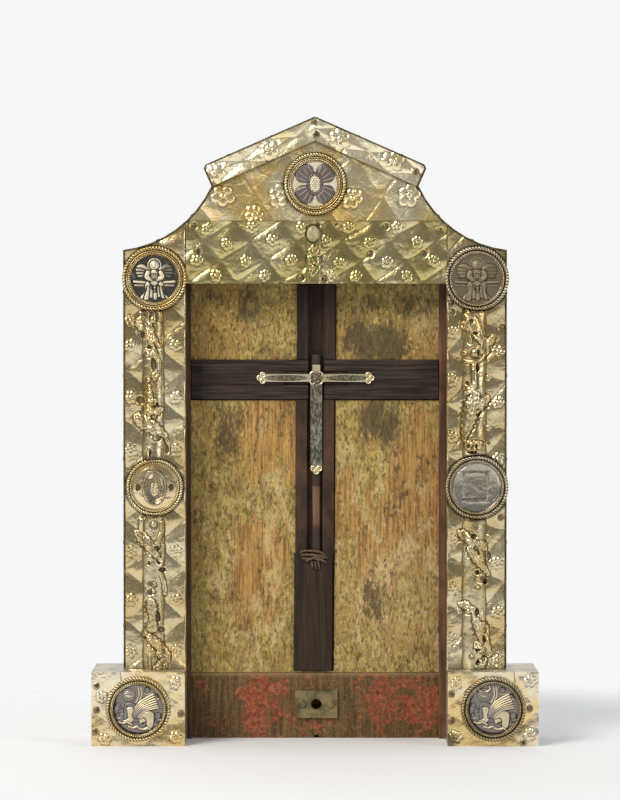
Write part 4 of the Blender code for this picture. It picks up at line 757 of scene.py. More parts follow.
def strap_work(metal):
    metal.height += 0.0012 * np.sqrt(np.clip(1 - ((metal.x - strap_x) / 0.0054) ** 2, 0, None))
    for z, radius in ((0.3475, 0.004), (0.3412, 0.0042), (0.3335, 0.0036)):
        metal.rosette(strap_x, z, radius, 4, z * 900, 0.0003)
    for z in (0.3512, 0.3378):
        metal.hole(strap_x + 0.0012, z, 0.001)
    metal.crease((strap_x - 0.004, 0.3445), (strap_x + 0.004, 0.3438), 0.0006, -0.0005)
    # Painted shade along both edges of the strap and in a ring round the stone.
    metal.marked -= 1.1 * np.exp(-((np.abs(metal.x - strap_x) - 0.0056) / 0.0012) ** 2)
    stone_low, stone_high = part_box("strap_stone")
    from_stone = metal.away(strap_x, (stone_low[2] + stone_high[2]) / 2, 0.005, 0.0062)
    metal.marked -= 1.1 * np.exp(-((from_stone - 1) / 0.14) ** 2)


metal = sheet(low[0], high[0], [(low[0], low[2]), (high[0], low[2])],
              [(low[0], high[2] - 0.002), (strap_x, high[2]), (high[0], high[2] - 0.002)], 0.0003,
              high[1] - 0.0011, high[1], strap_work)
piece("cast_strap", metal, green_gilt, "green_gilt", "centre_strap")

stone_finish, shader, place = surface("cloudy_stone")
shader.inputs["Coat Weight"].default_value = 0.25
milk = place.clouds(260.0, 4.0)
colour = milk.rise(0.35, 0.65).blend((0.3, 0.25, 0.12), (0.52, 0.44, 0.24))
give(shader, colour, 0.18 + 0.1 * milk, milk, 0.0001)
low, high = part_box("strap_stone")
stone = bmesh.new()
bmesh.ops.create_uvsphere(stone, u_segments=32, v_segments=16, radius=1.0)
bmesh.ops.transform(stone, matrix=Matrix.Translation((strap_x, high[1], (low[2] + high[2]) / 2))
                    @ Matrix.Diagonal((0.0045, 0.0023, 0.0057, 1.0)), verts=stone.verts)
bmesh.ops.bisect_plane(stone, geom=stone.verts[:] + stone.edges[:] + stone.faces[:], plane_co=(0, high[1], 0),
                       plane_no=(0, 1, 0), clear_outer=True)
bmesh.ops.holes_fill(stone, edges=[line for line in stone.edges if line.is_boundary], sides=0)
bmesh.ops.recalc_face_normals(stone, faces=stone.faces)
piece("oval_strap_stone", stone, stone_finish, "pale_stone", "strap_stone")


# ---- Pediment sheet ----
# One gilt sheet fills the gable between the shoulders, warmer and more orange than the lintel. It has
# large flowers and a few long folds, and painted shade darkens it under the bands and round the crest's
# bezel.

warm_gilt = gilding("warm_gilding", (1.0, 0.9, 0.6), (1.0, 0.71, 0.26), (0.55, 0.34, 0.09), 0.35,
                    metallic=0.9)
low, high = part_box("pediment_sheet")
CREST_Z = 0.3949
BAND_FOOT = 0.42523
SHOULDER_EDGE = ((88.6, 369.3), (82.7, 375.5), (76.7, 383.8), (71.5, 393.0))
upper = [(-x / 1000, z / 1000) for x, z in SHOULDER_EDGE] + [(0.0, high[2])]
upper += [(x / 1000, z / 1000) for x, z in reversed(SHOULDER_EDGE)]


def pediment_work(metal):
    metal.lozenges((-0.043, 0.3875), (0.0223, -0.031), (0.0223, 0.031), 0.0011, 2.1)
    metal.crumple(0.022, 0.0005, 2)
    for x, z, radius, petals in ((-65.0, 386.6, 7.8, 5), (-43.1, 373.0, 7.0, 6), (-25.4, 386.6, 7.4, 5),
                                 (26.4, 384.8, 7.2, 6), (66.5, 387.0, 8.2, 5)):
        metal.rosette(x / 1000, z / 1000, radius / 1000, petals, x, 0.0007)
    for start, end, depth in (((-0.0523, 0.4014), (-0.0318, 0.371), 0.0002),
                              ((-0.053, 0.371), (-0.0438, 0.3858), 0.00015),
                              ((0.0558, 0.3979), (0.036, 0.3696), -0.0002),
                              ((0.0191, 0.4085), (0.0226, 0.4113), -0.0002)):
        metal.crease(start, end, 0.0011, depth)
    far = metal.away(0.0, CREST_Z)
    # Painted shade under the chevron bands and round the crest's bezel.
    metal.height *= far > 0.0222
    below = BAND_FOOT - 0.4472 * np.abs(metal.x) - metal.z
    metal.marked -= 0.75 * np.exp(-(below / 0.0021) ** 2) + 0.75 * np.exp(-((far - 0.0219) / 0.0018) ** 2)


metal = sheet(upper[0][0], upper[-1][0], [(-0.1, low[2]), (0.1, low[2])], upper, 0.00046, sheet_front,
              sheet_back, pediment_work)
piece("pediment_gilt", metal, warm_gilt, "warm_gilt", "pediment_sheet")


# ---- Chevron bands ----
# Two raised bands of paler gilt sheet along the gable, folded over strips of wood and meeting at the
# apex. Each carries lozenges, large flowers and a nail or two, and is rubbed bright.

pale_gilt = gilding("pale_gilding", (1.0, 0.9, 0.64), (0.96, 0.8, 0.44), (0.5, 0.4, 0.2), 0.3, creased=1.2,
                    metallic=0.85)
BAND_FRONT = -0.01135
BAND_FLOWERS = {"left": ((-71.2, 401.9), (-33.1, 419.5)), "right": ((17.3, 426.2), (54.3, 411.0))}
BAND_LATTICE = {"left": ((-0.0904, 0.3935), (0.016, 0.0157), (0.0224, 0.0011)),
                "right": ((-0.0019, 0.4346), (0.0224, -0.0011), (0.016, -0.0157))}


def chevron_work(metal, side):
    metal.lozenges(*BAND_LATTICE[side], 0.0011, 0.7)
    metal.crumple(0.014, 0.00035, 3)
    for x, z in BAND_FLOWERS[side]:
        metal.rosette(x / 1000, z / 1000, 0.0078, 6, x, 0.0007)
    metal.nails(((-0.4, 438.2), (1.0, 429.6), (70.9, 403.4)), 0.0019, 0.001)


for side, sign in (("left", -1), ("right", 1)):
    ridge = [(0.00015, 0.4408), (0.0761, 0.40754), (0.07695, 0.40585)]
    foot = [(0.00015, BAND_FOOT), (0.0715, 0.39332), (0.07695, 0.4057)]
    ridge = sorted((sign * x, z) for x, z in ridge)
    foot = sorted((sign * x, z) for x, z in foot)
    metal = sheet(ridge[0][0], ridge[-1][0], foot, ridge, fine_cell, BAND_FRONT, sheet_back,
                  lambda work: chevron_work(work, side))
    piece(f"{side}_chevron_gilt", metal, pale_gilt, "pale_gilt", f"{side}_chevron")


# ---- Upright sheets ----
# A gilt sheet down each side of the opening, embossed with diamond points and flowers, with a half-
# round shaft up its middle that a leafy vine winds round. The gilding is paler and more rubbed.

pink_gilt = gilding("rubbed_gilding", (0.8, 0.69, 0.44), (0.68, 0.51, 0.24), (0.38, 0.28, 0.13), 0.5)


CELL = 0.0007066


def in_metres(px, py):
    """A place on the upright sheets from a point of a grid of cells, counted from the top left."""
    return (px - 315) * CELL, 0.2954 - (py - 325) * CELL


class Carving(Embossing):
    """An embossed sheet with rounded shafts, stems, leaves and berries on it."""

    def shaft(self, x, half_width, rise, kept):
        """A half-round rib up the sheet where it is kept, with soft sides."""
        over = np.clip(1 - ((self.x - x) / half_width) ** 2, 0, None)
        self.height += np.where(kept, rise * over ** 0.7 - self.height * 0.7 * (over > 0), 0)
        self.marked -= 0.35 * kept * (over > 0)

    def start(self):
        self.over = np.zeros_like(self.x)
        self.cut = np.zeros_like(self.x)

    def finish(self):
        """Puts the stems and leaves on the shaft, with the ground cut away and painted shade beside them."""
        self.height += self.over - 0.5 * self.cut * (self.over < 0.0001)
        self.marked -= 0.3 * np.clip(self.cut / 0.0006, 0, 1) * (self.over < 0.0001)

    def stem(self, points, radius, rise):
        far = np.min([self.off_line(*ends) for ends in zip(points, points[1:])], axis=0)
        self.over = np.maximum(self.over, rise * np.sqrt(np.clip(1 - (far / radius) ** 2, 0, None)))
        self.cut = np.maximum(self.cut, 0.4 * rise * np.exp(-((far / radius - 1.3) / 0.35) ** 2))

    def leaf(self, x, z, length, width, turn, lobes, rise):
        """A leaf from its foot at a place, pointing along a turn in degrees, with a cut edge."""
        near, across, up, _ = self.around(x, z, length * 1.25)
        way = np.array((math.cos(math.radians(turn)), math.sin(math.radians(turn))))
        along = (across * way[0] + up * way[1]) / length
        aside = np.abs(up * way[0] - across * way[1])
        spread = np.sqrt(np.clip(along * (1 - along), 0, None)) * 2 * width
        spread *= (1.4 - 0.75 * along) * (1 - 0.24 * np.abs(np.cos(lobes * math.pi * along)))
        share = aside / np.maximum(spread, 1e-6)
        body = np.where(share < 1, np.sqrt(np.clip(1 - share ** 2, 0, None)), 0)
        rib = np.exp(-(aside / (0.16 * width)) ** 2)
        veins = np.cos(2 * math.pi * lobes * (along + 0.35 * aside / width)) * (share < 0.9)
        raised = rise * body ** 0.7 * (0.8 + 0.25 * np.clip(along, 0, 1) - 0.25 * rib + 0.08 * veins)
        self.over[near] = np.maximum(self.over[near], raised)
        beside = 0.4 * rise * np.exp(-((share - 1.2) / 0.25) ** 2) * (spread > 0.0003)
        self.cut[near] = np.maximum(self.cut[near], beside)

    def berry(self, x, z, radius, rise):
        near, _, _, far = self.around(x, z, radius * 2)
        raised = rise * np.sqrt(np.clip(1 - (far / radius) ** 2, 0, None))
        self.over[near] = np.where(raised > 0, np.maximum(self.over[near] * 0.7, raised), self.over[near])
        self.cut[near] = np.maximum(self.cut[near], 0.5 * rise * np.exp(-((far / radius - 1.25) / 0.2) ** 2))

    def pit(self, px, py, wide, tall, depth):
        """A dark hollow cut between stems."""
        far = self.away(*in_metres(px, py), wide * CELL, tall * CELL)
        self.height -= depth * np.exp(-far ** 4)


UPRIGHT_FLOWERS = {
    "left": ((-130.0, 281.3), (-130.0, 244.5), (-130.0, 207.1), (-130.0, 135.7), (-130.0, 101.1),
             (-130.0, 65.0), (-98.2, 281.3), (-98.2, 244.5), (-98.2, 207.1), (-98.2, 135.7),
             (-98.2, 101.1), (-98.2, 65.0), (-130.2, 298.5)),
    "right": ((96.8, 290.5), (96.8, 256.9), (96.8, 216.6), (96.8, 144.2), (96.8, 108.9), (96.8, 73.5),
              (129.3, 277.4), (129.3, 241.0), (129.3, 200.7), (129.3, 127.2), (129.3, 92.6), (129.3, 58.0))}
SMALL_FLOWERS = {"left": (), "right": ((121.8, 257.9), (121.8, 222.6), (121.8, 145.2), (102.6, 93.3))}
UPRIGHT_NAILS = {"left": ((-110.9, 216.3), (-115.9, 113.1), (-116.6, 106.7), (-128.0, 172.0), (-97.0, 190.0)),
                 "right": ((96.1, 310.9), (96.8, 304.6), (132.1, 294.0), (118.0, 116.6), (131.5, 160.0))}
STEMS = {
    "left": ((2.6, (141, 313), (141, 321)), (2.6, (147.5, 312), (147.5, 322)), (2.6, (154, 312), (154, 321)),
             (2.6, (160, 313), (161, 320)), (2.4, (151, 330), (157, 343), (160, 346)),
             (2.6, (141, 325), (145, 332), (150, 340), (155, 352), (159, 362), (159, 374)),
             (2.0, (159, 374), (155, 379), (153, 375), (156, 371)), (2.4, (150, 404), (146, 410), (142, 418)),
             (2.4, (150, 390), (152, 400), (151, 408)), (2.2, (163, 434), (168, 443), (168, 454)),
             (1.8, (150, 448), (148, 455), (146, 462)), (3.0, (141, 520), (141, 534), (147, 541), (158, 546)),
             (2.6, (162, 522), (162, 532), (157, 544)), (2.2, (160, 572), (164, 582), (165, 594)),
             (2.0, (163, 545), (163, 556), (161, 566)), (2.4, (153, 600), (151, 612), (150, 626)),
             (2.8, (144, 634), (152, 642), (160, 650), (168, 657)), (2.6, (168, 657), (168, 662), (160, 668)),
             (1.8, (149.5, 656), (150, 668))),
    "right": ((3.2, (466, 311), (474, 319), (481, 331), (486, 343), (487, 352)),
              (2.4, (487, 352), (481, 360), (472, 362), (464, 361)),
              (2.2, (464, 318), (468, 330), (470, 342)), (3.0, (474, 364), (474, 372), (474, 386)),
              (2.8, (487, 396), (480, 406), (472, 418), (466, 430)),
              (1.8, (465, 438), (465, 445), (470, 451)), (1.8, (474, 441), (476, 446), (474, 451)),
              (3.0, (460, 532), (466, 539), (472, 545)), (3.0, (469, 549), (478, 561), (488, 574)),
              (2.4, (474, 540), (480, 548), (483, 558)), (2.2, (470, 606), (473, 612), (474, 622)),
              (2.8, (474, 620), (479, 634), (484, 646), (489, 656)), (2.2, (479, 620), (480, 632)),
              (2.2, (487, 634), (488, 648)), (2.0, (475, 646), (482, 652), (487, 656)))}
LEAVES = {
    "left": ((137, 319, 20, 5.5, -38, 4), (150, 333, 9, 3.0, 230, 3), (150, 338, 8, 3.2, -20, 3),
             (152, 351, 9, 3.0, -60, 3), (148, 398, 9, 3.0, -40, 3), (150, 404, 8, 3.4, 30, 3),
             (153, 414, 11, 4.4, 130, 4), (153, 412, 10, 3.6, 20, 3), (154, 422, 9, 3.4, -80, 3),
             (134, 415, 36, 5.5, -33, 7), (150, 425, 11, 3.0, -60, 3), (135, 530, 34, 3.6, -50, 6),
             (141, 532, 34, 3.2, -56, 6), (150, 598, 22, 4.0, -80, 5), (150, 632, 12, 4.6, 70, 3),
             (146, 634, 30, 3.6, -42, 6), (158, 650, 12, 3.6, -50, 3), (166, 662, 11, 4.4, 215, 3)),
    "right": ((465, 312, 34, 4.4, -62, 6), (464, 330, 12, 3.4, 75, 3), (488, 345, 12, 3.0, 60, 3),
              (477, 346, 9, 4.4, -50, 2), (476, 390, 48, 5.6, 256, 9), (489, 396, 26, 3.6, 228, 5),
              (474, 386, 12, 3.0, 220, 3), (470, 440, 9, 3.2, 250, 2), (478, 440, 9, 3.2, 280, 2),
              (459, 531, 18, 3.6, -40, 4), (467, 546, 34, 3.4, -52, 6), (480, 540, 12, 3.0, -60, 3),
              (470, 606, 11, 3.4, 170, 3), (474, 616, 40, 3.8, -66, 7), (481, 622, 14, 3.4, -60, 3),
              (474, 642, 18, 3.2, -38, 4), (480, 668, 11, 3.4, 60, 3))}
BERRIES = {
    "left": ((153, 320, 3.2), (148, 354, 3.0), (148.5, 380, 2.6), (149.5, 386, 2.4), (150, 394, 3.2),
             (147.5, 430, 2.4), (157, 437, 3.0), (154, 524, 3.2), (154, 584, 2.4), (153, 591, 2.4),
             (153, 628, 5.0), (161, 664, 3.0), (155, 668, 2.6)),
    "right": ((475, 335, 2.6), (475, 353, 4.0), (464, 353, 2.6), (474, 366, 3.0), (474, 384, 2.8),
              (469, 400, 2.4), (481, 401, 2.6), (477, 543, 3.0), (481, 577, 4.6), (468, 611, 3.0),
              (473, 609, 3.0), (485, 630, 3.0), (478, 587, 2.0), (482, 662, 3.0), (472, 656, 2.2))}
PITS = {
    "left": ((143.5, 336, 2.0, 4.4), (150, 347, 3.2, 1.8), (153.5, 364, 2.4, 7.0), (140, 400, 3.4, 4.0),
             (155, 405, 4.0, 3.0), (167, 449, 1.8, 4.5), (150, 452, 1.4, 5.0), (149, 563, 1.4, 1.8),
             (162, 570, 3.2, 2.2), (159, 560, 2.4, 4.0), (158, 617, 2.0, 6.0), (161, 630, 3.0, 3.4),
             (161, 672, 5.0, 2.4), (145, 638, 1.6, 2.0), (157, 548, 3.0, 2.4)),
    "right": ((467, 383, 1.8, 1.8), (471, 321, 1.8, 2.4), (475, 333, 3.0, 1.6), (477, 368, 1.6, 4.0),
              (478, 352, 1.4, 3.0), (478, 412, 2.6, 4.4), (468, 446, 2.0, 2.4), (476, 446, 1.4, 2.4),
              (472, 452, 5.0, 1.4), (474, 536, 3.0, 2.0), (477, 572, 2.0, 2.0), (485, 582, 1.8, 2.4),
              (477, 612, 2.0, 4.0), (484, 640, 1.6, 5.0), (478, 663, 2.2, 3.0), (484, 658, 2.2, 3.0),
              (478, 650, 3.0, 1.2), (489, 556, 1.6, 4.0))}
SHAFTS = {"left": (-0.1142, 0.0069), "right": (0.1125, 0.0077)}
UPRIGHT_LATTICE = {"left": ((-0.134, 0.2989), (0.02128, 0.01765), (0.02128, -0.01765), 0.0012, 0.4),
                   "right": ((0.09325, 0.2737), (0.02038, 0.02577), (0.02038, -0.00953), 0.0012, 1.9)}
LEFT_X, RIGHT_X = -0.1134, 0.1143
TOP_Z, MIDDLE_Z, FOOT_Z = 0.3281, 0.1807, 0.026
PLACES = {"crest": (0.0, CREST_Z), "top_left": (LEFT_X, TOP_Z), "middle_left": (LEFT_X, MIDDLE_Z),
          "foot_left": (-0.1241, FOOT_Z), "top_right": (RIGHT_X, TOP_Z), "middle_right": (RIGHT_X, MIDDLE_Z),
          "foot_right": (0.125, FOOT_Z)}
SEAT_RADIUS = 0.0229
DISH_SEAT_RADIUS = 0.0203


def upright_work(metal, side):
    from_top = metal.away(*PLACES[f"top_{side}"])
    from_middle = metal.away(*PLACES[f"middle_{side}"])
    middle_radius = DISH_SEAT_RADIUS if side == "left" else SEAT_RADIUS
    metal.lozenges(*UPRIGHT_LATTICE[side])
    metal.crumple(0.018, 0.0004, 4 if side == "left" else 5)
    for index, (x, z) in enumerate(UPRIGHT_FLOWERS[side]):
        metal.rosette(x / 1000, z / 1000, 0.0043, 5 + index % 2, index * 0.9, 0.0006)
    for x, z in SMALL_FLOWERS[side]:
        metal.rosette(x / 1000, z / 1000, 0.0024, 5, x, 0.0006)
    x, half_width = SHAFTS[side]
    kept = (from_top > SEAT_RADIUS) & (from_middle > middle_radius) & (metal.z < TOP_Z)
    metal.shaft(x, half_width * 1.08, 0.0046, kept)
    metal.start()
    for width, *run in STEMS[side]:
        metal.stem([in_metres(*point) for point in run], width * 0.0006, 0.0012)
    for px, py, length, width, turn, lobes in LEAVES[side]:
        metal.leaf(*in_metres(px, py), length * 0.00078, width * 0.001, turn, lobes, 0.0021)
    for px, py, radius in BERRIES[side]:
        metal.berry(*in_metres(px, py), radius * CELL, 0.0014)
    metal.finish()
    for px, py, wide, tall in PITS[side]:
        metal.pit(px, py, wide, tall, 0.0021)
    metal.nails(UPRIGHT_NAILS[side], 0.0018, 0.001)
    if side == "right":
        metal.hole(0.1226, 0.212, 0.0013)
        metal.marked += 1.1 * (from_middle < 0.0175)
    # Each bezel sits on a flat seat, ringed with painted shade.
    for far, radius in ((from_top, SEAT_RADIUS), (from_middle, middle_radius)):
        metal.height = np.where(far < radius - 0.0006, 0.0, metal.height)
        metal.marked -= 1.2 * np.exp(-((far - radius) / 0.0012) ** 2)
    inner = np.abs(metal.x - (-0.0915 if side == "left" else 0.0932))
    metal.height = np.where(inner < 0.0006, 0.0004, metal.height)
    metal.height = np.clip(metal.height, -0.0009, 0.0074)


for side, sign, inner_x, corner_z in (("left", -1, 0.09145, 0.36665), ("right", 1, 0.09325, 0.36517)):
    top = [(0.134, 0.34715), (0.12527, 0.34874), (0.11553, 0.35183), (0.10626, 0.35613), (0.09761, 0.36158),
           (inner_x, corner_z)]
    top = sorted((sign * x, z) for x, z in top)
    metal = sheet(top[0][0], top[-1][0], [(-0.2, 0.0523), (0.2, 0.0523)], top, 0.0004, sheet_front,
                  sheet_back, lambda work: upright_work(work, side), Carving)
    piece(f"{side}_upright_gilt", metal, pink_gilt, "pink_gilt", f"{side}_upright_sheet")


# ---- Feet ----
# Each foot block wears a casing of grey, nearly bare gilt metal over its top and sides, and a nailed
# front sheet embossed round its medallion. Their tops are rubbed pale grey.

foot_gilt = gilding("foot_gilding", (0.94, 0.84, 0.63), (0.9, 0.67, 0.29), (0.55, 0.42, 0.25), 0.25, 0.2, 0.8)
foot_front = -0.02785
FOOT_FLOWERS = {"left": ((-149.3, 34.6), (-98.2, 44.8), (-97.6, 6.4), (-147.7, 5.0)),
                "right": ((151.0, 46.0), (99.0, 44.0), (98.6, 7.0), (150.6, 8.4))}
FOOT_NAILS = {"left": ((-153.1, 42.7), (-153.1, 25.6), (-154.2, 10.5), (-94.1, 23.1)),
              "right": ((95.9, 37.1), (95.9, 18.2), (150.6, 26.9), (146.2, 2.9))}


def foot_work(metal, side):
    x, z = PLACES[f"foot_{side}"]
    metal.lozenges((x - 0.0335, z), (0.0335, 0.0265), (0.0335, -0.0265), 0.0007, 3.3)
    metal.crumple(0.014, 0.0004, 6)
    for px, pz in FOOT_FLOWERS[side]:
        metal.rosette(px / 1000, pz / 1000, 0.0041, 6, px, 0.0008)
    metal.nails(FOOT_NAILS[side], 0.0018, 0.001)
    seam = -0.1365 if side == "left" else 0.1396
    metal.crease((seam, 0.0522), (seam + 0.0008, 0.0455), 0.0004, -0.0006)
    metal.height = np.where(metal.away(x, z) < SEAT_RADIUS - 0.0006, 0.0, metal.height)
    if side == "right":
        metal.marked -= 1.6 * np.exp(-metal.away(0.0935, 0.003, 0.006, 0.006) ** 2)
    metal.height = np.clip(metal.height, -0.0008, 0.0012)


for side in ("left", "right"):
    low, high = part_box(f"{side}_foot_sheet")
    metal = sheet(low[0], high[0], [(low[0], low[2]), (high[0], low[2])],
                  [(low[0], high[2]), (high[0], high[2])], 0.00045, foot_front, high[1],
                  lambda work: foot_work(work, side))
    piece(f"{side}_foot_gilt", metal, foot_gilt, "pink_gilt", f"{side}_foot_sheet")

grey_gilt, shader, place = surface("grey_gilt_casing", 1.0)
smudge = place.clouds(60.0, 5.0, 0.65)
spots = place.clouds(330.0, 4.0, 0.7)
colour = smudge.rise(0.36, 0.62).blend((0.68, 0.64, 0.55), (0.5, 0.45, 0.33))
colour = (0.5 * spots.rise(0.58, 0.7)).blend(colour, (0.25, 0.21, 0.14))
give(shader, colour, 0.3 + 0.25 * spots, smudge + 0.3 * spots, 0.0006)
dress(grey_gilt, "left_foot_casing", "right_foot_casing")


# ---- Edge linings ----
# A thin strip of dark metal bent round the outside of the body, up the sides, over the shoulders and
# along the gable, nailed at intervals. It is tarnished dark brown, with a brassy glint.

dark_metal, shader, place = surface("dark_edge_metal", 1.0)
patches = place.clouds(170.0, 7.0, 0.72)
worn = (0.75 * patches + 0.25 * place.stretched(1.0, 1.0, 0.2).clouds(700.0, 3.0, 0.6)).rise(0.36, 0.72)
colour = worn.blend((0.07, 0.052, 0.03), (0.3, 0.225, 0.11))
give(shader, colour, 0.36 + 0.3 * patches, patches, 0.0005)
dress(dark_metal, "left_edge_lining", "right_edge_lining")


# ---- Bezels ----
# A ring round each medallion, with a thick twisted rope outside, a groove darkened by tarnish and
# painted shade, a fine milled rope and a bright lip that turns in over the disc. Those on the right
# are darker, like bronze.

bronze_rope = gilding("bronze_rope", (0.68, 0.59, 0.4), (0.48, 0.37, 0.19), (0.18, 0.14, 0.08), 0.6, 0.26)
gold_rope = gilding("gold_rope", (0.85, 0.73, 0.44), (0.7, 0.5, 0.2), (0.34, 0.24, 0.1), 0.5, 0.24)


def swept_ring(metal, profile, steps, wave):
    """Joins on a closed profile of (radius, height) points, spun round +Z and shaped by a wave."""
    ring = bmesh.new()
    hollow = ring.verts.layers.float.new("hollow")
    verts = [ring.verts.new((radius, 0.0, height)) for radius, height in profile]
    lines = [ring.edges.new(pair) for pair in zip(verts, verts[1:] + verts[:1])]
    bmesh.ops.spin(ring, geom=verts + lines, cent=(0, 0, 0), axis=(0, 0, 1), angle=2 * math.pi,
                   steps=steps, use_merge=True)
    for vert in ring.verts:
        wave(vert, hollow)
    bmesh.ops.recalc_face_normals(ring, faces=ring.faces)
    join(metal, ring)


def rope(ring_radius, level, lumps, lean):
    """A wave for swept_ring that swells a tube into twisted strands."""
    def wave(vert, hollow):
        angle = math.atan2(vert.co.y, vert.co.x)
        out = math.hypot(vert.co.x, vert.co.y) - ring_radius
        lift = vert.co.z - level
        around = math.atan2(lift, out)
        strand = abs(math.cos(lumps * angle / 2 + lean * around))
        share = 0.5 + 0.5 * strand
        far = ring_radius + out * share
        vert.co = (far * math.cos(angle), far * math.sin(angle), level + lift * share)
        # Between the strands the hollow value is high, so the gilding darkens them with tarnish and painted
        # shade.
        vert[hollow] = 2.4 - 2.8 * strand
    return wave


def plain(mark):
    def wave(vert, hollow):
        vert[hollow] = mark
    return wave


def tube_profile(ring_radius, level, tube, sides):
    return [(ring_radius + tube * math.cos(2 * math.pi * side / sides),
             level + tube * math.sin(2 * math.pi * side / sides)) for side in range(sides)]


def bezel(name, back, radius, lining, material, slot):
    """A thick rope, a milled ring and a bright lip, with a smooth band between where there is room."""
    x, z = PLACES[name]
    metal = bmesh.new()
    metal.verts.layers.float.new("hollow")
    milled = lining + 0.0012
    base = [(radius - 0.0003, 0.0), (radius - 0.0003, 0.0013), (radius - 0.0026, 0.0016),
            (milled, 0.0014), (lining + 0.0004, 0.001), (lining + 0.0004, 0.0)]
    # The base is marked as deep hollow, darkened with tarnish and painted shade.
    swept_ring(metal, base, 96, plain(2.0))
    if radius - lining > 0.0052:
        inner, outer = milled + 0.0009, radius - 0.0027
        band = [(outer, 0.001), (outer, 0.0021), (outer - 0.0003, 0.0025), (inner + 0.0004, 0.0024),
                (inner, 0.0019), (inner, 0.001)]
        swept_ring(metal, band, 96, plain(-0.2))
    lip = [(lining + out, height) for out, height in (
        (0.0005, 0.0004), (0.0005, 0.0017), (0.0002, 0.0022), (0.0, 0.0019), (-0.0002, 0.0014),
        (-0.0002, 0.0004))]
    swept_ring(metal, lip, 96, plain(-0.4))
    thick = radius - 0.0012
    swept_ring(metal, tube_profile(thick, 0.0026, 0.0013, 10), 372, rope(thick, 0.0026, 62, 0.9))
    swept_ring(metal, tube_profile(milled, 0.002, 0.00075, 8), 320, rope(milled, 0.002, 80, 0.0))
    bmesh.ops.transform(metal, matrix=Matrix.Translation((x, back, z)) @ Matrix.Rotation(math.pi / 2, 4, "X"),
                        verts=metal.verts)
    return piece(f"{name}_rope_ring", metal, material, slot, f"{name}_bezel")


body_seat = -0.0063
foot_seat = -0.02815
RINGS = (("crest", 0.0219, 0.0161), ("top_left", 0.0228, 0.0169), ("middle_left", 0.0202, 0.0158),
         ("foot_left", 0.0228, 0.0178), ("top_right", 0.0226, 0.0176), ("middle_right", 0.0224, 0.0174),
         ("foot_right", 0.0228, 0.0178))
for name, radius, lining in RINGS:
    finish = (bronze_rope, "bronze_rope") if "right" in name else (gold_rope, "warm_gilt")
    bezel(name, foot_seat if "foot" in name else body_seat, radius, lining, *finish)


# ---- Figured discs ----
# Thin chased plates in the bezels: a seated winged figure with a nimbus twice, a winged animal twice,
# once horned, and four lobed leaves round an oval on the crest. Silver, gilding and black inlay.

def disc_finish(name, ground, metal_tone, gilt, rough, metallic=1.0):
    made, shader, place = surface(name, metallic)
    hollow, mark = place.carried("hollow"), place.carried("mark")
    small = place.clouds(300.0, 5.0, 0.68)
    broad = place.clouds(90.0, 4.0)
    figure = (0.7 * small + 0.3 * broad).rise(0.36, 0.6).blend(metal_tone, gilt)
    colour = mark.rise(0.35, 0.65).blend(ground, figure)
    # The hollows darken, partly as tarnish and partly as painted shade.
    colour = (0.6 * hollow.rise(0.1, 0.8)).blend(colour, (0.06, 0.048, 0.035))
    colour = mark.rise(0.1, -0.3).blend(colour, (0.035, 0.03, 0.025))
    colour = (0.45 * small.rise(0.55, 0.7)).blend(colour, shade(metal_tone, 0.4))
    give(shader, colour, rough + 0.3 * small + 0.2 * hollow.rise(0.1, 0.7), small, 0.0002)
    return made


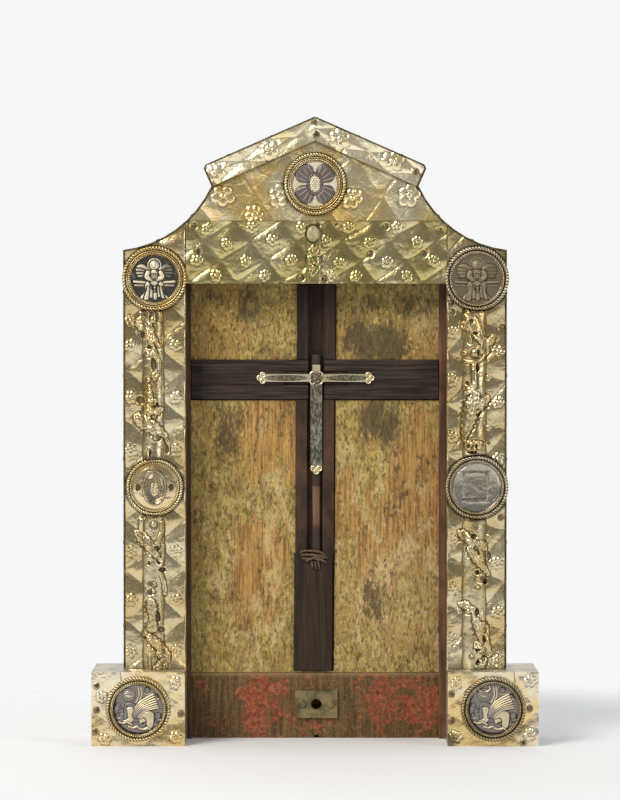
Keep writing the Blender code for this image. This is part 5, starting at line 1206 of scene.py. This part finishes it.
class Figure(Carving):
    """A disc that is worked in shares of its radius, from its own middle."""

    def centred(self, x, z, radius):
        self.middle = (x, z)
        self.radius = radius
        return self

    def place(self, u, v):
        return self.middle[0] + u * self.radius, self.middle[1] + v * self.radius

    def blacken(self, where, strength=0.9):
        """Takes the finish towards black inlay, by a share at each point."""
        self.marked -= (self.marked + 0.3) * strength * where

    def form(self, points, rise, soft=0.12, mark=1.0):
        """A filled shape with rounded edges, from the points of its outline."""
        outline = [self.place(u, v) for u, v in dict.fromkeys(points)]
        inside = np.zeros(self.x.size, bool)
        far = np.full_like(self.x, 1.0)
        for (ax, az), (bx, bz) in zip(outline, outline[1:] + outline[:1]):
            crosses = (az > self.z) != (bz > self.z)
            at = ax + (self.z - az) * (bx - ax) / (bz - az if bz != az else 1e-9)
            inside ^= crosses & (self.x < at)
            far = np.minimum(far, self.off_line((ax, az), (bx, bz)))
        share = np.clip(far / (soft * self.radius), 0, 1)
        raised = rise * np.sqrt(1 - (1 - share) ** 2)
        self.height = np.where(inside, np.maximum(self.height, raised), self.height)
        self.marked = np.where(inside, mark, self.marked)
        line = np.exp(-(far / (0.022 * self.radius)) ** 2)
        self.height -= 0.2 * rise * line
        self.blacken(line)

    def groove(self, points, width, depth):
        """A black line through some points."""
        places = [self.place(u, v) for u, v in points]
        far = np.min([self.off_line(*ends) for ends in zip(places, places[1:])], axis=0)
        line = np.exp(-(far / (width * self.radius)) ** 2)
        self.height -= depth * line
        self.blacken(line)

    def ridge(self, points, width, rise, mark=1.0):
        """A raised line through some points, with black beside it."""
        self.start()
        self.stem([self.place(u, v) for u, v in points], width * self.radius, rise)
        self.height = np.where(self.over > 0, np.maximum(self.height, self.over), self.height)
        beside = np.clip(self.cut / (0.4 * rise), 0, 1) * (self.over <= 0)
        self.marked = np.where(self.over > 0.2 * rise, mark, self.marked)
        self.blacken(beside, 0.8)

    def dome(self, u, v, wide, tall, rise, mark=1.0):
        away = self.away(*self.place(u, v), wide * self.radius, tall * self.radius)
        over = np.sqrt(np.clip(1 - away ** 2, 0, None))
        self.height = np.maximum(self.height, rise * over)
        self.marked = np.where(away < 1, mark, self.marked)

    def face(self, u, v, size):
        """A calm, plain face: brow, nose and mouth barely raised, under a cap of hair."""
        self.dome(u, v + size * 0.2, size * 1.3, size * 1.35, 0.0009, 0.44)
        self.dome(u, v, size, size * 1.2, 0.0012)
        self.dome(u, v - size * 0.1, size * 0.16, size * 0.4, 0.0014)
        for side in (-1, 1):
            self.groove([(u + side * size * 0.25, v + size * 0.2), (u + side * size * 0.6, v + size * 0.18)],
                        0.018, 0.00022)
        self.groove([(u - size * 0.3, v - size * 0.58), (u + size * 0.3, v - size * 0.58)], 0.018, 0.0002)

    def ring(self, u, v, wide, tall, width, depth):
        self.groove([(u + wide * math.cos(turn * math.pi / 12), v + tall * math.sin(turn * math.pi / 12))
                     for turn in range(25)], width, depth)


def flowing(points, steps=6):
    """More points along a smooth curve through the points."""
    ends = [points[0], *points, points[-1]]
    made = []
    for a, b, c, d in zip(ends, ends[1:], ends[2:], ends[3:]):
        for step in range(steps):
            t = step / steps
            square = [2 * a[i] - 5 * b[i] + 4 * c[i] - d[i] for i in (0, 1)]
            cube = [3 * b[i] - 3 * c[i] + d[i] - a[i] for i in (0, 1)]
            made.append(tuple(0.5 * (2 * b[i] + (c[i] - a[i]) * t + square[i] * t ** 2 + cube[i] * t ** 3)
                              for i in (0, 1)))
    return made + [points[-1]]


def seated_figure(metal):
    metal.marked[:] = 0.15
    for side in (-1, 1):
        wing = [(0.16, 0.34), (0.42, 0.6), (0.7, 0.56), (0.8, 0.3), (0.66, 0.02), (0.42, 0.02), (0.24, 0.12)]
        metal.form(flowing([(side * u, v) for u, v in wing], 4), 0.0005, 0.1, 0.6 if side < 0 else 0.46)
        for feather in range(4):
            metal.groove(flowing([(side * 0.24, 0.26 - 0.04 * feather), (side * 0.5, 0.42 - 0.12 * feather),
                                  (side * 0.78, 0.44 - 0.14 * feather)], 4), 0.024, 0.0002)
        metal.ridge([(side * 0.34, -0.16), (side * 0.84, -0.12)], 0.05, 0.0005, 0.6)
        metal.ridge([(side * 0.34, -0.28), (side * 0.8, -0.28)], 0.04, 0.0004, 0.5)
    metal.dome(0.0, 0.56, 0.29, 0.29, 0.0003, 0.9)
    metal.ring(0.0, 0.56, 0.22, 0.22, 0.03, 0.0002)
    robe = [(-0.3, -0.1), (-0.1, 0.0), (0.1, 0.0), (0.3, -0.1), (0.4, -0.3), (0.38, -0.55), (0.6, -0.8),
            (0.34, -0.84), (0.2, -0.78), (0.04, -0.9), (-0.14, -0.8), (-0.32, -0.9), (-0.6, -0.8),
            (-0.4, -0.55), (-0.4, -0.3), (-0.3, -0.1)]
    metal.form(flowing(robe, 3), 0.0007, 0.1, 0.95)
    for foot, end in ((-0.3, -0.46), (-0.2, -0.22), (-0.04, -0.06), (0.1, 0.14), (0.22, 0.28), (0.32, 0.46)):
        metal.groove(flowing([(foot, -0.3), (0.4 * foot + 0.5 * end, -0.52), (end, -0.82)], 4), 0.035, 0.0003)
    for sag in (0.0, 0.13, 0.26):
        end = 0.22 - 0.4 * sag
        fold = flowing([(-end, -0.14 - sag), (0.0, -0.32 - sag), (end, -0.14 - sag)], 5)
        metal.groove(fold, 0.03, 0.0002)
    cloak = [(-0.1, 0.38), (0.1, 0.38), (0.3, 0.3), (0.34, 0.08), (0.24, -0.14), (0.0, -0.08),
             (-0.24, -0.14), (-0.34, 0.08), (-0.3, 0.3), (-0.1, 0.38)]
    metal.form(flowing(cloak, 4), 0.0009, 0.12, 0.9)
    for side in (-1, 1):
        arm = flowing([(side * 0.27, 0.26), (side * 0.33, 0.06), (side * 0.12, 0.0)], 5)
        metal.ridge(arm, 0.08, 0.0011, 1.0)
        metal.groove(flowing([(side * 0.1, 0.34), (side * 0.17, 0.2), (side * 0.15, 0.04)], 4), 0.025, 0.0002)
    metal.form([(-0.12, 0.2), (0.12, 0.2), (0.12, -0.02), (-0.12, -0.02)], 0.0012, 0.04)
    for line in (-0.06, 0.0, 0.06):
        metal.groove([(line, 0.18), (line, 0.0)], 0.016, 0.0002)
    metal.face(0.0, 0.54, 0.12)


def beast(metal, horned):
    """A winged animal in fine black lines and gilt patches, with its head and nimbus at the upper left."""
    metal.marked[:] = 0.3
    tone = 0.62 if horned else 0.95
    for start in (0.12, 0.22):
        stalk = flowing([(start - 0.2, 0.26), (start - 0.08, 0.56), (start - 0.12, 0.9)])
        metal.ridge(stalk, 0.035, 0.0004, 0.55)
    for u, v, wide in ((0.36, 0.74, 0.11), (0.72, 0.5, 0.08), (0.78, -0.26, 0.12), (0.66, -0.5, 0.08),
                       (-0.78, 0.16, 0.09), (-0.66, -0.06, 0.1), (-0.8, -0.24, 0.08)):
        metal.ring(u, v, wide, wide * 1.2, 0.026, 0.0002)
        metal.ridge(flowing([(u - wide, v - wide), (u, v - 1.5 * wide), (u + 1.4 * wide, v - wide)], 4), 0.03,
                    0.0003, 0.5)
    body = [(-0.5, 0.24), (-0.2, 0.26), (0.2, 0.0), (0.6, -0.06), (0.66, -0.4), (0.5, -0.7), (0.0, -0.5),
            (-0.46, -0.56), (-0.56, -0.1), (-0.5, 0.24)]
    metal.form(flowing(body, 4), 0.0006, 0.16, 0.36)
    for step in range(7):
        metal.groove(flowing([(-0.46 + 0.05 * step, 0.16 - 0.03 * step), (-0.36 + 0.07 * step, -0.16),
                              (-0.46 + 0.1 * step, -0.46)], 4), 0.02, 0.0001)
    foreleg = [(-0.46, 0.06), (-0.24, 0.12), (-0.16, -0.02), (-0.22, -0.22), (-0.16, -0.42), (-0.36, -0.56),
               (-0.62, -0.46), (-0.42, -0.36), (-0.42, -0.14), (-0.46, 0.06)]
    metal.form(flowing(foreleg, 4), 0.0008, 0.1, tone)
    haunch = [(0.0, -0.28), (0.22, -0.1), (0.46, -0.06), (0.62, -0.2), (0.58, -0.7), (0.36, -0.72),
              (0.3, -0.5), (0.08, -0.58), (0.0, -0.28)]
    metal.form(flowing(haunch, 4), 0.0009, 0.12, 0.95)
    metal.groove(flowing([(0.08, -0.4), (0.26, -0.34), (0.32, -0.5), (0.16, -0.54)], 4), 0.03, 0.0003)
    upper = ((-0.18, -0.3), (-0.08, 0.08), (0.15, 0.34), (0.6, 0.6))
    lower = ((0.02, -0.3), (0.22, -0.1), (0.48, 0.0), (0.8, 0.06))
    for share in (0.0, 0.17, 0.34, 0.51, 0.68, 0.85, 1.0):
        feather = flowing([(a * (1 - share) + c * share, b * (1 - share) + d * share)
                           for (a, b), (c, d) in zip(upper, lower)])
        metal.ridge(feather, 0.036, 0.0008, 0.58 + 0.12 * (share < 0.6))
    metal.dome(-0.36, 0.56, 0.29, 0.29, 0.0004, 0.48)
    metal.ring(-0.36, 0.56, 0.27, 0.27, 0.022, 0.0003)
    metal.dome(-0.36, 0.54, 0.18, 0.2, 0.0009, 0.62 if not horned else 0.5)
    for turn in range(9):
        angle = turn * math.pi / 4.5
        lock = [(-0.36 + far * math.cos(angle + lean), 0.54 + (far + 0.01) * math.sin(angle + lean))
                for far, lean in ((0.11, 0.0), (0.17, 0.2), (0.21, 0.6))]
        metal.groove(flowing(lock, 3), 0.018, 0.0002)
    metal.groove([(-0.44, 0.58), (-0.39, 0.59)], 0.02, 0.0002)
    metal.groove([(-0.34, 0.59), (-0.29, 0.58)], 0.02, 0.0002)
    metal.groove(flowing([(-0.43, 0.45), (-0.37, 0.42), (-0.3, 0.45)], 4), 0.018, 0.0002)
    if horned:
        for side in (-1, 1):
            metal.ridge(flowing([(-0.36 + side * 0.1, 0.7), (-0.36 + side * 0.22, 0.78),
                                 (-0.36 + side * 0.2, 0.9)], 4), 0.035, 0.0009, 0.75)
    for start in ((-0.76, -0.5), (-0.36, -0.68), (0.04, -0.74)):
        metal.ridge(flowing([start, (start[0] + 0.18, start[1] - 0.04), (start[0] + 0.34, start[1] + 0.0),
                             (start[0] + 0.5, start[1] - 0.1)], 4), 0.04, 0.0007, 0.8)
    # Painted shade darkens the disc round its rim under the bezel, most at the lower left.
    far = metal.away(*metal.middle, metal.radius, metal.radius)
    lower = np.clip(-(metal.x - metal.middle[0] + metal.z - metal.middle[1]) / metal.radius, 0, 1)
    metal.marked -= 0.9 * np.clip((far - 0.86) / 0.1, 0, 1) * (0.4 + 0.6 * lower)


def crest_leaves(metal):
    """Four broad ribbed leaves set crosswise round a grained oval, on a bright ground."""
    metal.marked[:] = 1.0
    for turn in (45, 135, 225, 315):
        cos, sin = math.cos(math.radians(turn)), math.sin(math.radians(turn))
        lobe = flowing([(0.12, 0.0), (0.3, -0.22), (0.56, -0.42), (0.82, -0.37), (0.97, -0.16), (0.97, 0.16),
                        (0.82, 0.37), (0.56, 0.42), (0.3, 0.22), (0.12, 0.0)], 4)
        metal.form([(u * cos - v * sin, u * sin + v * cos) for u, v in lobe], 0.0005, 0.2, 0.26)
        for spread in (-26, -9, 9, 26):
            lean = math.radians(turn + spread)
            rib = [(far * math.cos(lean), far * math.sin(lean)) for far in (0.34, 0.84)]
            metal.ridge(rib, 0.026, 0.0006, 0.48)
    metal.dome(0.0, 0.0, 0.34, 0.5, 0.0007, 0.45)
    metal.ring(0.0, 0.0, 0.34, 0.5, 0.03, 0.0004)
    metal.dome(0.0, 0.0, 0.25, 0.4, 0.0009, 0.5)
    metal.ring(0.0, 0.0, 0.25, 0.4, 0.024, 0.0003)
    for row in range(-4, 5):
        for column in range(-2, 3):
            u, v = column * 0.095 + 0.045 * (row % 2), row * 0.085
            if (u / 0.22) ** 2 + (v / 0.37) ** 2 < 1:
                metal.dome(u, v, 0.034, 0.034, 0.0011, 0.62)
    # Painted shade darkens the disc round its rim, under the bezel's lip.
    far = metal.away(*metal.middle, metal.radius, metal.radius)
    metal.marked -= 0.8 * np.clip((far - 0.92) / 0.06, 0, 1)


def round_spread(x, z, wide, tall):
    """Spreads a square grid out to a circle or an oval."""
    def spread(across, up):
        u = 2 * across - 1
        v = 2 * up - 1
        return x + wide * u * np.sqrt(1 - v ** 2 / 2), z + tall * v * np.sqrt(1 - u ** 2 / 2)
    return spread


def disc(name, back, radius, drawn, material, slot):
    def work(metal):
        drawn(metal.centred(*PLACES[name], radius))
        metal.height = np.minimum(metal.height, 0.0014)

    spread = round_spread(*PLACES[name], radius, radius)
    metal = worked_grid(112, 112, spread, back - 0.0012, back, work, Figure)
    return piece(f"{name}_figure", metal, material, slot, f"{name}_disc")


WHITE_GILT, SOFT_GOLD = (0.95, 0.9, 0.72), (0.84, 0.72, 0.44)
niello = disc_finish("niello_and_gilding", (0.075, 0.07, 0.06), WHITE_GILT, SOFT_GOLD, 0.3, 0.85)
worn_silver = disc_finish("worn_silver", (0.21, 0.175, 0.11), (0.4, 0.34, 0.22), (0.32, 0.26, 0.15), 0.42)
bright_silver = disc_finish("silver_and_niello", (0.3, 0.265, 0.25), (0.86, 0.78, 0.56), (0.78, 0.66, 0.4),
                            0.32)
crest_silver = disc_finish("crest_silver", (0.2, 0.165, 0.15), (0.96, 0.92, 0.74), SOFT_GOLD, 0.3, 0.75)
disc("top_left", body_seat, 0.0169, seated_figure, niello, "niello")
disc("top_right", body_seat, 0.0176, seated_figure, worn_silver, "worn_silver")
disc("foot_left", foot_seat, 0.0179, lambda metal: beast(metal, False), bright_silver, "worn_silver")
disc("foot_right", foot_seat, 0.0179, lambda metal: beast(metal, True), bright_silver, "worn_silver")
disc("crest", body_seat, 0.01625, crest_leaves, crest_silver, "worn_silver")


# ---- Dish and crystals ----
# On the left a gilt dish holds an oval rock crystal, with two slots for its claws. Painted shade
# darkens the slots and the dish under the crystal. On the right a round crystal, cut with a square
# table, lies over silver-grey foil in its bezel.

dish_gilt = gilding("dish_gilding", (0.86, 0.72, 0.45), (0.72, 0.5, 0.24), (0.4, 0.26, 0.12), 0.4, 0.2)


def dish_work(metal):
    far = metal.away(LEFT_X, MIDDLE_Z, 0.0163, 0.0163)
    metal.height = 0.0012 * (1 - np.clip((far - 0.5) / 0.5, 0, 1) ** 2)
    # Painted shade under the crystal.
    metal.marked -= 0.75 * (metal.away(LEFT_X, MIDDLE_Z, 0.0078, 0.0115) < 1)
    for index in range(40):
        turn, out = 2.4 * index, 0.0034 * math.sqrt(index / 40)
        x, z = LEFT_X + 0.7 * out * math.cos(turn), 0.1795 + 1.3 * out * math.sin(turn)
        metal.marked = np.where(metal.away(x, z) < 0.0005, 0.0, metal.marked)
        metal.nail(x, z, 0.0004, 0.0005)
    metal.nailed[:] = 0
    # Two claw slots, painted dark as shade inside them.
    for side in (-1, 1):
        slot = metal.away(LEFT_X + side * 0.0117, MIDDLE_Z, 0.0017, 0.0024)
        metal.height -= 0.0009 * (slot < 1)
        metal.marked -= 3.0 * (slot < 1.1)


metal = worked_grid(96, 96, round_spread(LEFT_X, MIDDLE_Z, 0.0163, 0.0163), body_seat - 0.0006, body_seat,
                    dish_work)
piece("hollow_gilt_dish", metal, dish_gilt, "warm_gilt", "gilt_dish")

clear_crystal, shader, place = surface("rock_crystal")
shader.inputs["Base Color"].default_value = (0.97, 0.97, 0.95, 1.0)
shader.inputs["Roughness"].default_value = 0.02
shader.inputs["IOR"].default_value = 1.54
shader.inputs["Specular IOR Level"].default_value = 0.5
shader.inputs["Transmission Weight"].default_value = 1.0
OVAL_HALF = 0.0091, 0.0131
ROUND_RADIUS = 0.0171


def oval_work(metal):
    far = np.clip(metal.away(LEFT_X, MIDDLE_Z, *OVAL_HALF), 0, 1)
    band = 0.0008 + 0.0023 * np.sqrt(np.clip(1 - ((far - 0.9) / 0.1) ** 2, 0, None))
    dome = 0.0016 + 0.0032 * (1 - np.clip(far / 0.84, 0, 1) ** 2.4) ** 0.7
    metal.height = np.where(far < 0.83, dome, band)


crystal = worked_grid(72, 72, round_spread(LEFT_X, MIDDLE_Z, *OVAL_HALF), -0.0081, -0.008, oval_work)
piece("oval_rock_crystal", crystal, clear_crystal, "rock_crystal", "oval_crystal")


def crystal_work(metal):
    """A low dome, with a raised square table whose sides are cut steeply."""
    far = metal.away(RIGHT_X, MIDDLE_Z, ROUND_RADIUS, ROUND_RADIUS)
    metal.height = 0.0006 + 0.0026 * (1 - np.clip(far, 0, 1) ** 2.6) ** 0.7
    inside = np.minimum(0.0094 - np.abs(metal.x - 0.1135), 0.0102 - np.abs(metal.z - MIDDLE_Z))
    cut = 0.0014 + 1.6 * np.clip(inside, 0, 0.0021)
    table = np.minimum(0.0047, np.maximum(cut, metal.height * (inside > 0.0012)))
    beside = metal.height - 0.0008 * np.exp(np.clip(inside, -0.01, 0) / 0.0008)
    metal.height = np.where(inside > 0, table, beside)


crystal = worked_grid(104, 104, round_spread(RIGHT_X, MIDDLE_Z, ROUND_RADIUS, ROUND_RADIUS),
                      body_seat - 0.0004, body_seat, crystal_work)
piece("step_cut_crystal", crystal, clear_crystal, "rock_crystal", "round_crystal", smooth=False)


# ---- Plate and screws ----
# A small brass plate with a round hole, held to the rail between the feet by two screws. All three are
# browned and spotted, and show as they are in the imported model.

old_brass, shader, place = surface("browned_brass", 1.0)
spots = place.clouds(420.0, 5.0, 0.7)
broad = place.clouds(110.0, 4.0)
colour = broad.rise(0.38, 0.62).blend((0.34, 0.27, 0.13), (0.15, 0.13, 0.07))
colour = (0.6 * spots.rise(0.56, 0.7)).blend(colour, (0.07, 0.06, 0.035))
give(shader, colour, 0.36 + 0.3 * spots, spots, 0.0002)
dress(old_brass, "brass_plate", "left_plate_screw", "right_plate_screw")


# ---- Floor and light ----
# A white table that fades into white on all sides, with a broad soft light from the upper left and
# weaker fill from the right. A lit white screen curves up behind, unseen, and gives back its light.

def white_paper(name):
    made, shader, place = surface(name)
    shader.inputs["Base Color"].default_value = (0.785, 0.79, 0.795, 1.0)
    shader.inputs["Roughness"].default_value = 1.0
    return made, shader, place


def standing(name, shape, material):
    """The object of a bmesh that belongs to the studio."""
    mesh = bpy.data.meshes.new(name)
    shape.to_mesh(mesh)
    shape.free()
    mesh.materials.append(material)
    made = bpy.data.objects.new(name, mesh)
    bpy.context.scene.collection.objects.link(made)
    return made


cloth = bmesh.new()
line = [(-2.2, 0.0), (0.45, 0.0)]
line += [(0.45 + 0.5 * math.sin(step * math.pi / 32), 0.5 - 0.5 * math.cos(step * math.pi / 32))
         for step in range(1, 17)]
line += [(0.95, 2.4)]
verts = [cloth.verts.new((-2.5, y, z - 0.0002)) for y, z in line]
edges = [cloth.edges.new(pair) for pair in zip(verts, verts[1:])]
for item in bmesh.ops.extrude_edge_only(cloth, edges=edges)["geom"]:
    if isinstance(item, bmesh.types.BMVert):
        item.co.x = 2.5
for face in cloth.faces:
    face.smooth = True
screen = standing("screen", cloth, white_paper("white_screen")[0])
screen.visible_camera = False

table_white, shader, place = white_paper("white_table")
place.tree.links.new(place.length().rise(0.445, 0.27).socket, shader.inputs["Alpha"])
top = bmesh.new()
bmesh.ops.create_circle(top, cap_ends=True, segments=96, radius=0.449)
table = standing("table", top, table_white)
table.visible_diffuse = False
table.visible_glossy = False
table.visible_transmission = False
table.visible_shadow = False

scene = bpy.context.scene
scene.view_settings.view_transform = "Standard"
world = bpy.data.worlds.new("studio")
world.use_nodes = True
tree = world.node_tree
dim = tree.nodes["Background"]
dim.inputs["Color"].default_value = (0.95, 0.97, 1.0, 1.0)
dim.inputs["Strength"].default_value = 0.17
white = tree.nodes.new("ShaderNodeBackground")
white.inputs["Color"].default_value = (0.925, 0.93, 0.93, 1.0)
either = tree.nodes.new("ShaderNodeMixShader")
tree.links.new(tree.nodes.new("ShaderNodeLightPath").outputs["Is Camera Ray"], either.inputs[0])
tree.links.new(dim.outputs[0], either.inputs[1])
tree.links.new(white.outputs[0], either.inputs[2])
tree.links.new(either.outputs[0], tree.nodes["World Output"].inputs["Surface"])
scene.world = world


def soft_light(name, place, target, width, height, power, tint):
    data = bpy.data.lights.new(name, "AREA")
    data.shape = "RECTANGLE"
    data.size = width
    data.size_y = height
    data.energy = power
    data.color = tint
    lamp = bpy.data.objects.new(name, data)
    lamp.location = place
    lamp.rotation_euler = (Vector(target) - Vector(place)).to_track_quat("-Z", "Y").to_euler()
    scene.collection.objects.link(lamp)


soft_light("upper_left", (-1.3, -1.5, 1.7), (0.0, 0.0, 0.2), 1.3, 1.1, 50.0, (1.0, 0.97, 0.93))
soft_light("right_fill", (1.7, -1.2, 0.9), (0.0, 0.0, 0.2), 0.9, 1.2, 12.0, (0.95, 0.97, 1.0))
soft_light("backdrop_light", (0.0, 0.1, 2.2), (0.0, 0.9, 0.4), 2.2, 0.8, 19.0, (0.98, 0.99, 1.0))

# The camera stands where the photo's did, 2.3 m in front and a little above the middle.
view = bpy.data.cameras.new("front")
view.lens = 147.87
view.sensor_width = 36.0
camera = bpy.data.objects.new("front", view)
camera.location = (0.0, -2.32785, 0.2954)
camera.rotation_euler = (math.radians(90 - 1.307), 0.0, math.radians(0.0872))
scene.collection.objects.link(camera)
scene.camera = camera
